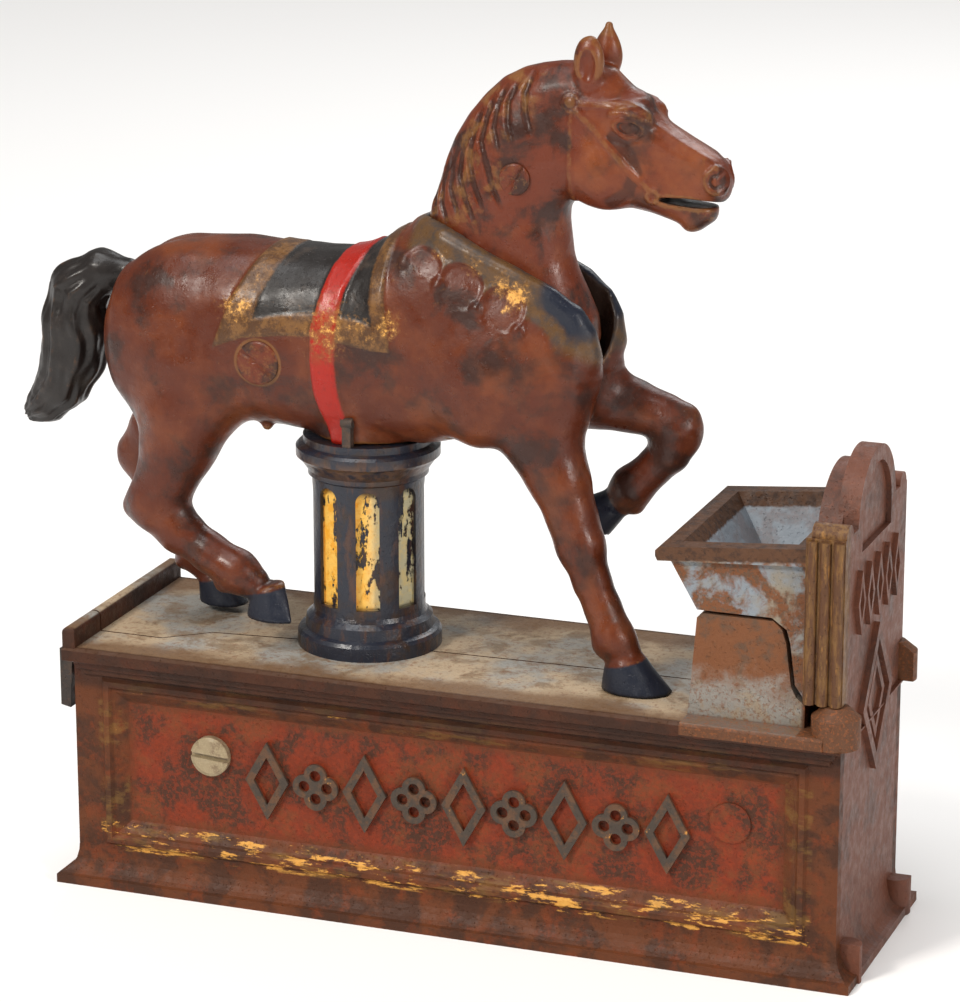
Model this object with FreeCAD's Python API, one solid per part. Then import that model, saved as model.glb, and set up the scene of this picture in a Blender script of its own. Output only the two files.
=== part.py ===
import FreeCAD, Part
import math
import os

# Cast-iron mechanical coin bank: a horse on a fluted column nods over a manger.
# Frame: origin at the middle of the underside, +X toward the manger, +Z up, millimetres.

# Base box
CASE_LENGTH = 176.0
CASE_WIDTH = 49.0
CASE_WALL = 3.0
DECK_TOP = 56.0
DECK_THICKNESS = 2.6
DECK_OVERHANG = 4.0
PLINTH_HEIGHT = 8.5
PLINTH_OUTSET = 4.0
CORNICE_HEIGHT = 6.0
RIM_THICKNESS = 3.0
RIM_HEIGHT = 4.6
FLOOR_THICKNESS = 2.0
SEAM_GAP = 0.5

# Sunk panel with its frame on each long side
PANEL_DEPTH = 1.8
FRAME_MARGIN = 6.5
FRAME_BEAD = 2.0
BEAD_RAISE = 0.9
ORNAMENT_LENGTH = 104.0
ORNAMENT_HEIGHT = 18.0
ORNAMENT_RAISE = 1.4
ORNAMENT_COUNT = 9
ORNAMENT_STROKE = 1.7

# Column
COLUMN_X = -27.0
COLUMN_TOP = 104.0
SHAFT_RADIUS = 12.4
FOOT_RADIUS = 16.0
CAPITAL_RADIUS = 15.9
COLUMN_BORE_RADIUS = 7.0
COLUMN_SCREW_SPREAD = 10.5
COLUMN_SCREW_RADIUS = 1.2
NICHE_COUNT = 8
NICHE_TURN = 20.5
NICHE_WIDTH = 5.2
NICHE_DEPTH = 1.6
NICHE_BOTTOM = 66.5
NICHE_SPRING = 91.0

# Neck pivot and the parts that turn on it
PIVOT_X = 17.0
PIVOT_Z = 129.0
PIN_RADIUS = 2.0
RUNNING_GAP = 0.06
NECK_HALF_WIDTH = 9.2
NECK_SIDE_GAP = 0.5
NOD_DEGREES = 50.0
NECK_ARM = 30.0
WEB_RADIUS = 28.0
WEB_START = 130.0
WEB_END = 186.0

# Push rod, lever, manger trap
ROD_RADIUS = 1.5
ROD_GAP = 0.5
ROD_FOOT_Z = 27.5
LEVER_PIVOT_X = -72.0
LEVER_PIVOT_Z = 38.0
LEVER_HALF_THICKNESS = 1.5
LEVER_HALF_WIDTH = 1.6
LEVER_UP_ARM = 10.0
LEVER_GAP = 0.5
TAB_REACH = 11.0
TRAP_HINGE_X = 60.0
TRAP_HINGE_Z = 77.0
TRAP_ARM = 10.0
TRAP_ARM_REST = -50.0
LINK_Y = 4.5
LINK_RADIUS = 1.2
PIVOT_SLACK = 0.8

# Manger and its seat
MANGER_LEFT = 54.0
SEAT_TOP = 78.6
SEAT_WALL = 3.0
CURB_TOP = 61.0
HOPPER_LEFT = 47.0
HOPPER_RIM_LEFT_Z = 92.6
HOPPER_RIM_RIGHT_Z = 95.4
HOPPER_RIM_BAND = 3.0
HOPPER_HALF_WIDTH = 22.6
RIM_OUTSET = 1.7
HOPPER_GAP = 0.7
TRAP_HOLE_LEFT = 61.5
TRAP_HOLE_RIGHT = 72.5
TRAP_HOLE_HALF_WIDTH = 13.5

# End plate with the arched top
END_THICKNESS = 8.5
END_SHOULDER_Z = 98.0
ARCH_RADIUS = 15.0
ARCH_TOP_Z = 112.0
PILASTER_RIBS = 3

# Coin door in the floor
OUTLET_LEFT = 8.0
OUTLET_RIGHT = 36.0
RAIL_SIDE_SPACE = 3.15
RAIL_THICKNESS = 2.0
DOOR_THICKNESS = 1.6
DOOR_MARGIN = 3.0
DOOR_TRAVEL = 24.0
DOOR_GAP = 0.35

# Cross screws through the box
SCREW_RADIUS = 2.0
SCREW_HEAD_RADIUS = 4.5
LEFT_SCREW_X = -55.7
RIGHT_SCREW_X = 64.0
SCREW_Z = 33.0

# Horse
BODY_WALL = 3.0
BODY_SEAT_GAP = 0.1

X_AXIS = FreeCAD.Vector(1, 0, 0)
Y_AXIS = FreeCAD.Vector(0, 1, 0)
Z_AXIS = FreeCAD.Vector(0, 0, 1)

HALF_LENGTH = CASE_LENGTH / 2
HALF_WIDTH = CASE_WIDTH / 2
DECK_UNDER = DECK_TOP - DECK_THICKNESS
INNER_HALF_WIDTH = HALF_WIDTH - CASE_WALL
INNER_HALF_LENGTH = HALF_LENGTH - CASE_WALL
OUTLET_HALF_WIDTH = INNER_HALF_WIDTH - RAIL_SIDE_SPACE - RAIL_THICKNESS - DOOR_GAP - DOOR_MARGIN
END_INNER_X = HALF_LENGTH - END_THICKNESS
ROD_TRAVEL = 2 * NECK_ARM * math.sin(math.radians(NOD_DEGREES / 2))


def vec(x, y, z):
    return FreeCAD.Vector(x, y, z)


def box(x0, x1, y0, y1, z0, z1):
    return Part.makeBox(x1 - x0, y1 - y0, z1 - z0, vec(x0, y0, z0))


def rod(start, end, radius):
    axis = end - start
    return Part.makeCylinder(radius, axis.Length, start, axis)


def prism(points, y0, y1):
    """Solid with the given X-Z outline between two Y planes."""
    corners = [vec(x, y0, z) for x, z in points]
    face = Part.Face(Part.makePolygon(corners + corners[:1]))
    return face.extrude(vec(0, y1 - y0, 0))


def plan_prism(points, z0, z1):
    """Solid with the given X-Y outline between two Z planes."""
    corners = [vec(x, y, z0) for x, y in points]
    face = Part.Face(Part.makePolygon(corners + corners[:1]))
    return face.extrude(vec(0, 0, z1 - z0))


def fuse_all(shapes):
    return shapes[0].fuse(shapes[1:]).removeSplitter()


def stacked_rectangles(levels, half_length, half_width):
    """Ruled solid through rectangles, each at a height with an outset."""
    wires = []
    for z, outset in levels:
        x = half_length + outset
        y = half_width + outset
        corners = [vec(-x, -y, z), vec(x, -y, z), vec(x, y, z), vec(-x, y, z)]
        wires.append(Part.makePolygon(corners + corners[:1]))
    return Part.makeLoft(wires, True, True)


def side_frustum(x0, x1, z0, z1, y_wide, y_narrow, inset):
    """Solid from a wide rectangle on one Y plane to a narrow one on another."""
    def wire(y, shrink):
        corners = [vec(x0 + shrink, y, z0 + shrink), vec(x1 - shrink, y, z0 + shrink)]
        corners += [vec(x1 - shrink, y, z1 - shrink), vec(x0 + shrink, y, z1 - shrink)]
        return Part.makePolygon(corners + corners[:1])
    return Part.makeLoft([wire(y_wide, 0), wire(y_narrow, inset)], True, True)


def ellipse_wire(centre, normal, major_axis, major, minor):
    """Ellipse whose longer or shorter half-size lies along major_axis."""
    if major >= minor:
        curve = Part.Ellipse(centre, major, minor)
        x_direction = major_axis
    else:
        curve = Part.Ellipse(centre, minor, major)
        x_direction = normal.cross(major_axis)
    edge_curve = Part.ArcOfEllipse(curve, 0, 2 * math.pi)
    shape = edge_curve.toShape()
    turn = FreeCAD.Rotation(x_direction, normal.cross(x_direction), normal, "ZXY")
    shape.Placement = FreeCAD.Placement(vec(0, 0, 0), turn, centre).multiply(shape.Placement)
    return Part.Wire([shape])


def limb(points):
    """Tapered rods between balls, for a leg or a tail: points are (x, y, z, radius)."""
    solids = []
    for x, y, z, radius in points:
        solids.append(Part.makeSphere(radius, vec(x, y, z)))
    for first, second in zip(points, points[1:]):
        start = vec(*first[:3])
        axis = vec(*second[:3]) - start
        if abs(first[3] - second[3]) < 0.02:
            solids.append(Part.makeCylinder(first[3] * 0.995, axis.Length, start, axis))
        else:
            solids.append(Part.makeCone(first[3] * 0.99, second[3] * 0.99, axis.Length, start, axis))
    result = solids[0]
    for solid in solids[1:]:
        result = result.fuse(solid)
    return result


def hoof(top_x, top_z, sole_x, sole_z, y, top_radius, sole_length, sole_width):
    top = Part.Wire([Part.makeCircle(top_radius, vec(top_x, y, top_z), Z_AXIS)])
    sole = Part.Ellipse(vec(sole_x, y, sole_z), sole_length, sole_width)
    low = Part.Wire([sole.toShape()])
    return Part.makeLoft([top, low], True, True)


# ---------------------------------------------------------------- base box

def case_shell():
    """Whole box in one solid, with plinth, cornice and deck, before it is divided."""
    body = box(-HALF_LENGTH, HALF_LENGTH, -HALF_WIDTH, HALF_WIDTH, 0, DECK_TOP)
    plinth_levels = []
    steps = 6
    for step in range(steps + 1):
        angle = math.pi / 2 * step / steps
        height = 2.0 + (PLINTH_HEIGHT - 2.0) * (1 - math.cos(angle))
        plinth_levels.append((height, PLINTH_OUTSET * (1 - math.sin(angle)) + 0.02))
    plinth_levels.insert(0, (0.0, PLINTH_OUTSET + 0.02))
    plinth = stacked_rectangles(plinth_levels, HALF_LENGTH, HALF_WIDTH)
    low = DECK_UNDER - 0.4 - CORNICE_HEIGHT + 2.0
    cornice_levels = [(low, 0.02), (low + 0.4, 0.9), (low + 1.5, 1.1), (low + 1.9, 1.9), (low + 3.2, 2.2)]
    cornice_levels += [(low + 4.0, DECK_OVERHANG), (DECK_TOP - 0.6, DECK_OVERHANG + 0.1)]
    cornice_levels += [(DECK_TOP, DECK_OVERHANG - 0.6)]
    cornice = stacked_rectangles(cornice_levels, HALF_LENGTH - 3.0, HALF_WIDTH)
    inner = box(-INNER_HALF_LENGTH, INNER_HALF_LENGTH, -INNER_HALF_WIDTH, INNER_HALF_WIDTH, -1, DECK_UNDER)
    return body.fuse([plinth, cornice]).cut(inner)


def seam_points(offset):
    """Uneven joint line between the two deck castings, left to right."""
    course = [(-100.0, -15.0), (-71.0, -15.0), (-62.0, -7.5), (-40.0, -5.0), (-9.0, -2.6), (25.0, -1.4)]
    course += [(MANGER_LEFT, -1.0), (100.0, -1.0)]
    return [(x, y + offset) for x, y in course]


def end_rim():
    """Raised rounded rim along the left end of the deck."""
    outer_x = -HALF_LENGTH - DECK_OVERHANG + 3.0
    half_width = HALF_WIDTH + DECK_OVERHANG - 0.4
    bar = box(outer_x, outer_x + RIM_THICKNESS, -half_width, half_width, DECK_UNDER, DECK_TOP + RIM_HEIGHT)
    long_edges = []
    for edge in bar.Edges:
        middle = edge.CenterOfMass
        if middle.z > DECK_TOP + RIM_HEIGHT - 0.1:
            long_edges.append(edge)
    return bar.makeFillet(RIM_THICKNESS * 0.42, long_edges)


def corner_scroll(side):
    """Rounded boss at the deck corner beside the end plate."""
    y = side * (HALF_WIDTH + DECK_OVERHANG - 5.2)
    post_height = CURB_TOP + 1.0 - 2.2 - DECK_UNDER
    post = Part.makeCylinder(5.2, post_height, vec(HALF_LENGTH - 1.5, y, DECK_UNDER), Z_AXIS)
    cap = Part.makeCone(5.2, 2.6, 2.2, vec(HALF_LENGTH - 1.5, y, DECK_UNDER + post_height), Z_AXIS)
    keep = box(HALF_LENGTH - 9, HALF_LENGTH + 8, -60, 60, 0, 80)
    inside = box(-200, 200, -INNER_HALF_WIDTH, INNER_HALF_WIDTH, 0, 90)
    return post.fuse(cap).common(keep).cut(inside)


def panel_outline():
    x0 = -HALF_LENGTH + FRAME_MARGIN
    x1 = HALF_LENGTH - FRAME_MARGIN
    return x0, x1, PLINTH_HEIGHT + 0.6, DECK_UNDER - 4.6


def framed_panel(shell, side):
    """Sink the long panel and raise the moulded frame on one side."""
    x0, x1, z0, z1 = panel_outline()
    face = side * HALF_WIDTH
    raised = face + side * BEAD_RAISE
    floor = face - side * PANEL_DEPTH
    slope = 2.6
    ring_out = side_frustum(x0, x1, z0, z1, face - side * 0.3, raised, 0.8)
    shell = shell.fuse(ring_out)
    step = FRAME_BEAD
    ring_in = side_frustum(x0 + step, x1 - step, z0 + step, z1 - step, raised + side * 0.01, face, 0.7)
    shell = shell.cut(ring_in)
    margin = step + 1.3
    sunk = side_frustum(x0 + margin, x1 - margin, z0 + margin, z1 - margin, face + side * 0.01, floor, slope)
    return shell.cut(sunk)


def lozenge_ring(x, z, half_width, half_height, stroke, y0, y1):
    def outline(shrink):
        w = half_width - shrink * math.hypot(half_width, half_height) / half_height
        h = half_height - shrink * math.hypot(half_width, half_height) / half_width
        return [(x, z - h), (x + w, z), (x, z + h), (x - w, z)]
    return prism(outline(0), y0, y1).cut(prism(outline(stroke), y0 - 1, y1 + 1))


def quatrefoil(x, z, size, stroke, y0, y1):
    rings = []
    for turn in range(4):
        angle = math.pi / 2 * turn
        centre = vec(x + size * math.cos(angle), y0, z + size * math.sin(angle))
        disc = Part.makeCylinder(size, y1 - y0, centre, Y_AXIS)
        rings.append(disc)
    holes = []
    for turn in range(4):
        angle = math.pi / 2 * turn
        centre = vec(x + size * math.cos(angle), y0 - 1, z + size * math.sin(angle))
        holes.append(Part.makeCylinder(size - stroke, y1 - y0 + 2, centre, Y_AXIS))
    flower = fuse_all(rings)
    for hole in holes:
        flower = flower.cut(hole)
    return flower


def panel_ornament(side):
    """Row of raised lozenges and four-lobed flowers on the panel."""
    x0, x1, z0, z1 = panel_outline()
    floor = side * (HALF_WIDTH - PANEL_DEPTH)
    near = min(floor - side * 0.3, floor + side * ORNAMENT_RAISE)
    far = max(floor - side * 0.3, floor + side * ORNAMENT_RAISE)
    middle_x = (LEFT_SCREW_X + RIGHT_SCREW_X) / 2
    middle_z = (z0 + z1) / 2
    pitch = ORNAMENT_LENGTH / ORNAMENT_COUNT
    pieces = []
    for index in range(ORNAMENT_COUNT):
        x = middle_x + (index - (ORNAMENT_COUNT - 1) / 2) * pitch
        if index % 2 == 0:
            half = (pitch * 0.44, ORNAMENT_HEIGHT / 2)
            pieces.append(lozenge_ring(x, middle_z, half[0], half[1], ORNAMENT_STROKE, near, far))
        else:
            pieces.append(quatrefoil(x, middle_z, pitch * 0.23, ORNAMENT_STROKE * 0.8, near, far))
    return pieces


def screw_hole(x, radius):
    return rod(vec(x, -60, SCREW_Z), vec(x, 60, SCREW_Z), radius)


def column_screw_ends():
    """Lower and upper end of each screw that holds the column, from under the deck."""
    ends = []
    for side in (-1, 1):
        y = side * COLUMN_SCREW_SPREAD
        ends.append((vec(COLUMN_X, y, DECK_UNDER - 1.6), vec(COLUMN_X, y, DECK_TOP + 5.0)))
    return ends


def deck_openings():
    """Holes in the deck under the column, for the push rod and the column's screws."""
    holes = [Part.makeCylinder(COLUMN_BORE_RADIUS - 1, 10, vec(COLUMN_X, 0, DECK_UNDER - 3), Z_AXIS)]
    for low, high in column_screw_ends():
        holes.append(rod(low, high, COLUMN_SCREW_RADIUS))
    return holes


def case_halves(shell):
    """Front and rear castings: long wall, plinth, cornice and a strip of the deck."""
    manger_room = box(MANGER_LEFT, 120, -60, 60, DECK_UNDER, 200)
    halves = []
    for side in (-1, 1):
        half = framed_panel(shell, side)
        half = half.fuse(panel_ornament(side))
        if side < 0:
            edge = seam_points(0)
            region = plan_prism(edge + [(100, -60), (-100, -60)], DECK_UNDER, DECK_TOP + 20)
            wall = box(-120, 120, -60, -INNER_HALF_WIDTH, -1, DECK_UNDER)
        else:
            edge = seam_points(SEAM_GAP)
            region = plan_prism(edge + [(100, 60), (-100, 60)], DECK_UNDER, DECK_TOP + 20)
            wall = box(-120, 120, INNER_HALF_WIDTH, 60, -1, DECK_UNDER)
        region = region.cut(manger_room)
        half = half.fuse(end_rim()).common(wall.fuse(region))
        half = half.cut(deck_openings())
        half = half.cut([screw_hole(LEFT_SCREW_X, SCREW_RADIUS), screw_hole(RIGHT_SCREW_X, SCREW_RADIUS)])
        halves.append(half.removeSplitter())
    return halves


def left_end_plate(shell):
    """Left wall with the slot that the lever works through."""
    keep = box(-120, -INNER_HALF_LENGTH, -INNER_HALF_WIDTH, INNER_HALF_WIDTH, -1, DECK_UNDER)
    plate = shell.common(keep)
    half_width = LEVER_HALF_WIDTH + LEVER_GAP
    slot = box(-120, -60, -half_width, half_width, LEVER_PIVOT_Z - 12.5, LEVER_PIVOT_Z + 8.0)
    return plate.cut(slot).removeSplitter()


def floor_plate():
    """Bottom plate with the coin outlet and two guide rails for its door."""
    half_width = INNER_HALF_WIDTH
    plate = box(-INNER_HALF_LENGTH, INNER_HALF_LENGTH, -half_width, half_width, 0, FLOOR_THICKNESS)
    outlet = box(OUTLET_LEFT, OUTLET_RIGHT, -OUTLET_HALF_WIDTH, OUTLET_HALF_WIDTH, -1, FLOOR_THICKNESS + 1)
    rails = []
    door_half = OUTLET_HALF_WIDTH + DOOR_MARGIN
    low = FLOOR_THICKNESS
    top = low + DOOR_THICKNESS + 2 * DOOR_GAP
    rail_left = OUTLET_LEFT - DOOR_MARGIN
    rail_right = OUTLET_RIGHT + DOOR_MARGIN + DOOR_TRAVEL
    for side in (-1, 1):
        y0 = side * (door_half + DOOR_GAP)
        y1 = side * (door_half + DOOR_GAP + RAIL_THICKNESS)
        y_lip = side * (door_half - 1.2)
        post = box(rail_left, rail_right, min(y0, y1), max(y0, y1), low - 0.1, top + 1.2)
        lip = box(rail_left, rail_right, min(y_lip, y1), max(y_lip, y1), top, top + 1.2)
        rails.append(post.fuse(lip))
    screw_holes = []
    for x, y in floor_screw_places():
        screw_holes.append(Part.makeCylinder(1.3, 10, vec(x, y, -1), Z_AXIS))
    return plate.cut(outlet).fuse(rails).cut(screw_holes).removeSplitter()


def floor_screw_places():
    x = INNER_HALF_LENGTH - 7.0
    y = INNER_HALF_WIDTH - 4.0
    return [(-x, -y), (-x, y), (x, -y), (x, y)]


def floor_screws():
    """Four screws in the floor's corners, with nuts on the inside."""
    pieces = []
    for x, y in floor_screw_places():
        shank = Part.makeCylinder(1.3, 6.0, vec(x, y, 0.2), Z_AXIS)
        nut = box(x - 2.2, x + 2.2, y - 2.2, y + 2.2, FLOOR_THICKNESS, FLOOR_THICKNESS + 2.0)
        pieces.append(shank.fuse(nut))
    return Part.makeCompound(pieces)


def coin_door():
    """Sliding door over the coin outlet, with a finger notch."""
    low = FLOOR_THICKNESS + DOOR_GAP
    half = OUTLET_HALF_WIDTH + DOOR_MARGIN
    plate = box(OUTLET_LEFT - DOOR_MARGIN, OUTLET_RIGHT + DOOR_MARGIN, -half, half, low, low + DOOR_THICKNESS)
    ridge_x = OUTLET_LEFT + 1.5
    ridge = box(ridge_x, ridge_x + 2.0, -6, 6, 0.6, low + 0.1)
    stop = box(OUTLET_LEFT - DOOR_MARGIN, OUTLET_LEFT - DOOR_MARGIN + 2, -8, 8, low, low + DOOR_THICKNESS + 1.5)
    return plate.fuse([ridge, stop]).removeSplitter()


# ---------------------------------------------------------------- manger

def seat_outline():
    """Front view of the manger's seat, from its foot round the slanted right edge."""
    right = END_INNER_X
    points = [(MANGER_LEFT, DECK_TOP), (MANGER_LEFT + 0.4, DECK_TOP + 4), (MANGER_LEFT + 1.8, SEAT_TOP - 1)]
    points += [(MANGER_LEFT + 3.0, SEAT_TOP), (72.4, SEAT_TOP), (74.2, SEAT_TOP - 1.6), (75.2, 74.0)]
    points += [(76.4, 64.8), (77.6, 62.4), (right, CURB_TOP), (right, DECK_TOP)]
    return points


def manger_seat(shell):
    """Right end of the deck with the hollow seat that the manger stands on."""
    slab = box(MANGER_LEFT, HALF_LENGTH - CASE_WALL, -60, 60, DECK_UNDER, DECK_TOP)
    deck = shell.common(slab)
    block = prism(seat_outline(), -HOPPER_HALF_WIDTH, HOPPER_HALF_WIDTH)
    chute_half = TRAP_HOLE_HALF_WIDTH + 2.5
    chute_right = TRAP_HOLE_RIGHT + 0.6
    chute = box(MANGER_LEFT + 1.8 + SEAT_WALL - 1.6, chute_right, -chute_half, chute_half, DECK_UNDER - 1, 200)
    scrolls = [corner_scroll(-1), corner_scroll(1)]
    end_room = end_plate_blank()
    return deck.fuse([block] + scrolls).cut(chute).cut(end_room).removeSplitter()


def hopper():
    """Open trough with a banded rim, sloping inside to the trap."""
    right = END_INNER_X
    low = SEAT_TOP + HOPPER_GAP
    left_band = HOPPER_RIM_LEFT_Z - HOPPER_RIM_BAND
    right_band = HOPPER_RIM_RIGHT_Z - HOPPER_RIM_BAND - 0.8
    wall = [(MANGER_LEFT + 1.8, low), (HOPPER_LEFT + 2.6, left_band + 0.3), (right, right_band + 0.5), (right, low)]
    outside = prism(wall, -HOPPER_HALF_WIDTH, HOPPER_HALF_WIDTH)
    band = [(HOPPER_LEFT + 0.5, left_band), (HOPPER_LEFT, left_band + 1), (HOPPER_LEFT, HOPPER_RIM_LEFT_Z - 0.8)]
    band += [(HOPPER_LEFT + 0.8, HOPPER_RIM_LEFT_Z), (right, HOPPER_RIM_RIGHT_Z), (right, right_band)]
    rim_half = HOPPER_HALF_WIDTH + RIM_OUTSET
    rim = prism(band, -rim_half, rim_half)
    cheek_line = [(72.0, low), (74.6 + HOPPER_GAP, SEAT_TOP - 1.6), (75.4 + HOPPER_GAP, 74.2)]
    cheek_line += [(76.6 + HOPPER_GAP, 65.2), (78.2 + HOPPER_GAP, 62.9), (right, 62.6), (right, low + 1), (72.0, low + 1)]
    cheeks = prism(cheek_line, -HOPPER_HALF_WIDTH, HOPPER_HALF_WIDTH)
    cheeks = cheeks.cut(box(60, 100, -HOPPER_HALF_WIDTH + 3, HOPPER_HALF_WIDTH - 3, 50, low))
    mouth_half = HOPPER_HALF_WIDTH - 1.4

    def rectangle(x0, x1, half, z):
        corners = [vec(x0, -half, z), vec(x1, -half, z), vec(x1, half, z), vec(x0, half, z)]
        return Part.makePolygon(corners + corners[:1])
    throat = rectangle(TRAP_HOLE_LEFT, TRAP_HOLE_RIGHT, TRAP_HOLE_HALF_WIDTH, low - 0.5)
    top = rectangle(HOPPER_LEFT + 2.2, right - 2.2, mouth_half, HOPPER_RIM_RIGHT_Z + 1)
    inside = Part.makeLoft([throat, top], True, True)
    lugs = []
    for side in (-1, 1):
        y = side * (TRAP_HOLE_HALF_WIDTH + 0.9)
        ear = box(TRAP_HINGE_X - 1.7, TRAP_HINGE_X + 1.7, y - 0.8, y + 0.8, TRAP_HINGE_Z - 1.6, low + 0.5)
        lugs.append(ear)
    bore = rod(vec(TRAP_HINGE_X, -30, TRAP_HINGE_Z), vec(TRAP_HINGE_X, 30, TRAP_HINGE_Z), 1.0)
    return outside.fuse([rim, cheeks] + lugs).cut(inside).cut(bore).removeSplitter()


def trap_door():
    """Hinged false bottom of the manger, with the arm that opens it."""
    half = TRAP_HOLE_HALF_WIDTH - 0.3
    top = SEAT_TOP + HOPPER_GAP - 0.5
    plate = box(TRAP_HINGE_X, TRAP_HOLE_RIGHT - 0.2, -half, half, top - 1.5, top)
    hinge_half = half
    barrel = rod(vec(TRAP_HINGE_X, -hinge_half, TRAP_HINGE_Z), vec(TRAP_HINGE_X, hinge_half, TRAP_HINGE_Z), 1.75)
    angle = math.radians(TRAP_ARM_REST)
    pin_x = TRAP_HINGE_X + TRAP_ARM * math.cos(angle)
    pin_z = TRAP_HINGE_Z + TRAP_ARM * math.sin(angle)
    arm_y = LINK_Y - LINK_RADIUS - 2.2
    start = vec(TRAP_HINGE_X, arm_y, TRAP_HINGE_Z)
    end = vec(pin_x, arm_y, pin_z)
    arm = rod(start, end, 0.9).fuse(Part.makeSphere(1.1, end))
    pin = rod(end, vec(pin_x, LINK_Y + LINK_RADIUS + 0.6, pin_z), 0.9)
    bore = rod(vec(TRAP_HINGE_X, -30, TRAP_HINGE_Z), vec(TRAP_HINGE_X, 30, TRAP_HINGE_Z), 1.0 + RUNNING_GAP)
    return plate.fuse([barrel, arm, pin]).cut(bore).removeSplitter()


def trap_pin():
    half = TRAP_HOLE_HALF_WIDTH + 1.7
    return rod(vec(TRAP_HINGE_X, -half, TRAP_HINGE_Z), vec(TRAP_HINGE_X, half, TRAP_HINGE_Z), 1.0)


def slotted_head(x, y, z, slot_x, slot_z):
    """Small plate with an upright slot for a pin that comes from one side."""
    outer_x = slot_x + 1.3
    outer_z = slot_z + 1.3
    plate = box(x - outer_x, x + outer_x, y - LINK_RADIUS, y + LINK_RADIUS, z - outer_z, z + outer_z)
    hole = box(x - slot_x, x + slot_x, y - 5, y + 5, z - slot_z, z + slot_z)
    return plate.cut(hole)


def trap_link():
    """Long wire under the deck that carries the lever's pull to the trap."""
    wire_z = LEVER_PIVOT_Z + LEVER_UP_ARM - 0.6
    angle = math.radians(TRAP_ARM_REST)
    pin_x = TRAP_HINGE_X + TRAP_ARM * math.cos(angle)
    pin_z = TRAP_HINGE_Z + TRAP_ARM * math.sin(angle)
    trap_end = slotted_head(pin_x, LINK_Y, pin_z - 1.1, 0.9 + PIVOT_SLACK, 3.2)
    lever_end = slotted_head(LEVER_PIVOT_X, LINK_Y, wire_z, 1.0 + 0.45, 2.2)
    wire = rod(vec(LEVER_PIVOT_X + 2.3, LINK_Y, wire_z), vec(pin_x, LINK_Y, wire_z), LINK_RADIUS)
    corner = Part.makeSphere(LINK_RADIUS * 1.01, vec(pin_x, LINK_Y, wire_z))
    riser = rod(vec(pin_x, LINK_Y, wire_z), vec(pin_x, LINK_Y, pin_z - 5.3), LINK_RADIUS)
    return lever_end.fuse([wire, corner, riser, trap_end]).removeSplitter()


# ---------------------------------------------------------------- end plate

def arch_outline(radius, top_z, y_scale=1.0):
    """Half-round arch over shoulders, in the Y-Z plane, as a closed wire at X = 0."""
    spring = top_z - radius
    left = vec(0, -radius * y_scale, spring)
    right = vec(0, radius * y_scale, spring)
    arc = Part.Arc(left, vec(0, 0, top_z), right).toShape()
    low_z = END_SHOULDER_Z - 20
    lines = [Part.makeLine(right, vec(0, right.y, low_z)), Part.makeLine(vec(0, right.y, low_z), vec(0, left.y, low_z))]
    lines.append(Part.makeLine(vec(0, left.y, low_z), left))
    return Part.Wire([arc] + lines)


def arch_slab(radius, top_z, x0, x1):
    slab = Part.Face(arch_outline(radius, top_z)).extrude(vec(x1 - x0, 0, 0))
    slab.translate(vec(x0, 0, 0))
    return slab


def end_plate_blank():
    """Outer block of the end casting above the deck, used also to clear its neighbours."""
    return box(END_INNER_X, HALF_LENGTH, -HALF_WIDTH, HALF_WIDTH, CURB_TOP + 1.2, END_SHOULDER_Z)


def end_plate(shell):
    """Right-hand end: wall, plinth lobes, ribbed edges and the stepped arched top."""
    keep = box(INNER_HALF_LENGTH, 120, -INNER_HALF_WIDTH, INNER_HALF_WIDTH, -1, DECK_UNDER)
    wall = shell.common(keep)
    stem = box(INNER_HALF_LENGTH, HALF_LENGTH, -INNER_HALF_WIDTH, INNER_HALF_WIDTH, 20, CURB_TOP + 2)
    upper = end_plate_blank()
    arch_wide = arch_slab(ARCH_RADIUS + 2.5, ARCH_TOP_Z - 3.6, END_INNER_X, HALF_LENGTH - 3.4)
    arch_tall = arch_slab(ARCH_RADIUS, ARCH_TOP_Z, HALF_LENGTH - 4.6, HALF_LENGTH)
    plate = wall.fuse([stem, upper, arch_wide, arch_tall])
    for side in (-1, 1):
        y = side * HALF_WIDTH
        for rib in range(PILASTER_RIBS):
            x = END_INNER_X + END_THICKNESS * (rib + 0.5) / PILASTER_RIBS
            start = vec(x, y, CURB_TOP + 1.2)
            plate = plate.fuse(rod(start, vec(x, y, END_SHOULDER_Z - 0.6), END_THICKNESS / PILASTER_RIBS * 0.42))
        shoulder = rod(vec(END_INNER_X + 1, y - side * 3.2, END_SHOULDER_Z), vec(HALF_LENGTH, y - side * 3.2, END_SHOULDER_Z), 2.6)
        plate = plate.fuse(shoulder)
        lobe = Part.makeCylinder(3.4, 8.5, vec(HALF_LENGTH + 1.2, side * (INNER_HALF_WIDTH - 1.0), 0), Z_AXIS)
        lobe = lobe.common(box(HALF_LENGTH - 1, 120, -INNER_HALF_WIDTH, INNER_HALF_WIDTH, 0, 20))
        plate = plate.fuse(lobe)
    panel = arch_slab(ARCH_RADIUS - 3.4, ARCH_TOP_Z - 3.4, HALF_LENGTH - 1.2, HALF_LENGTH + 1)
    panel = panel.cut(box(60, 100, -40, 40, 0, END_SHOULDER_Z - 6))
    plate = plate.cut(panel)
    return plate.fuse(end_ornament()).removeSplitter()


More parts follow.
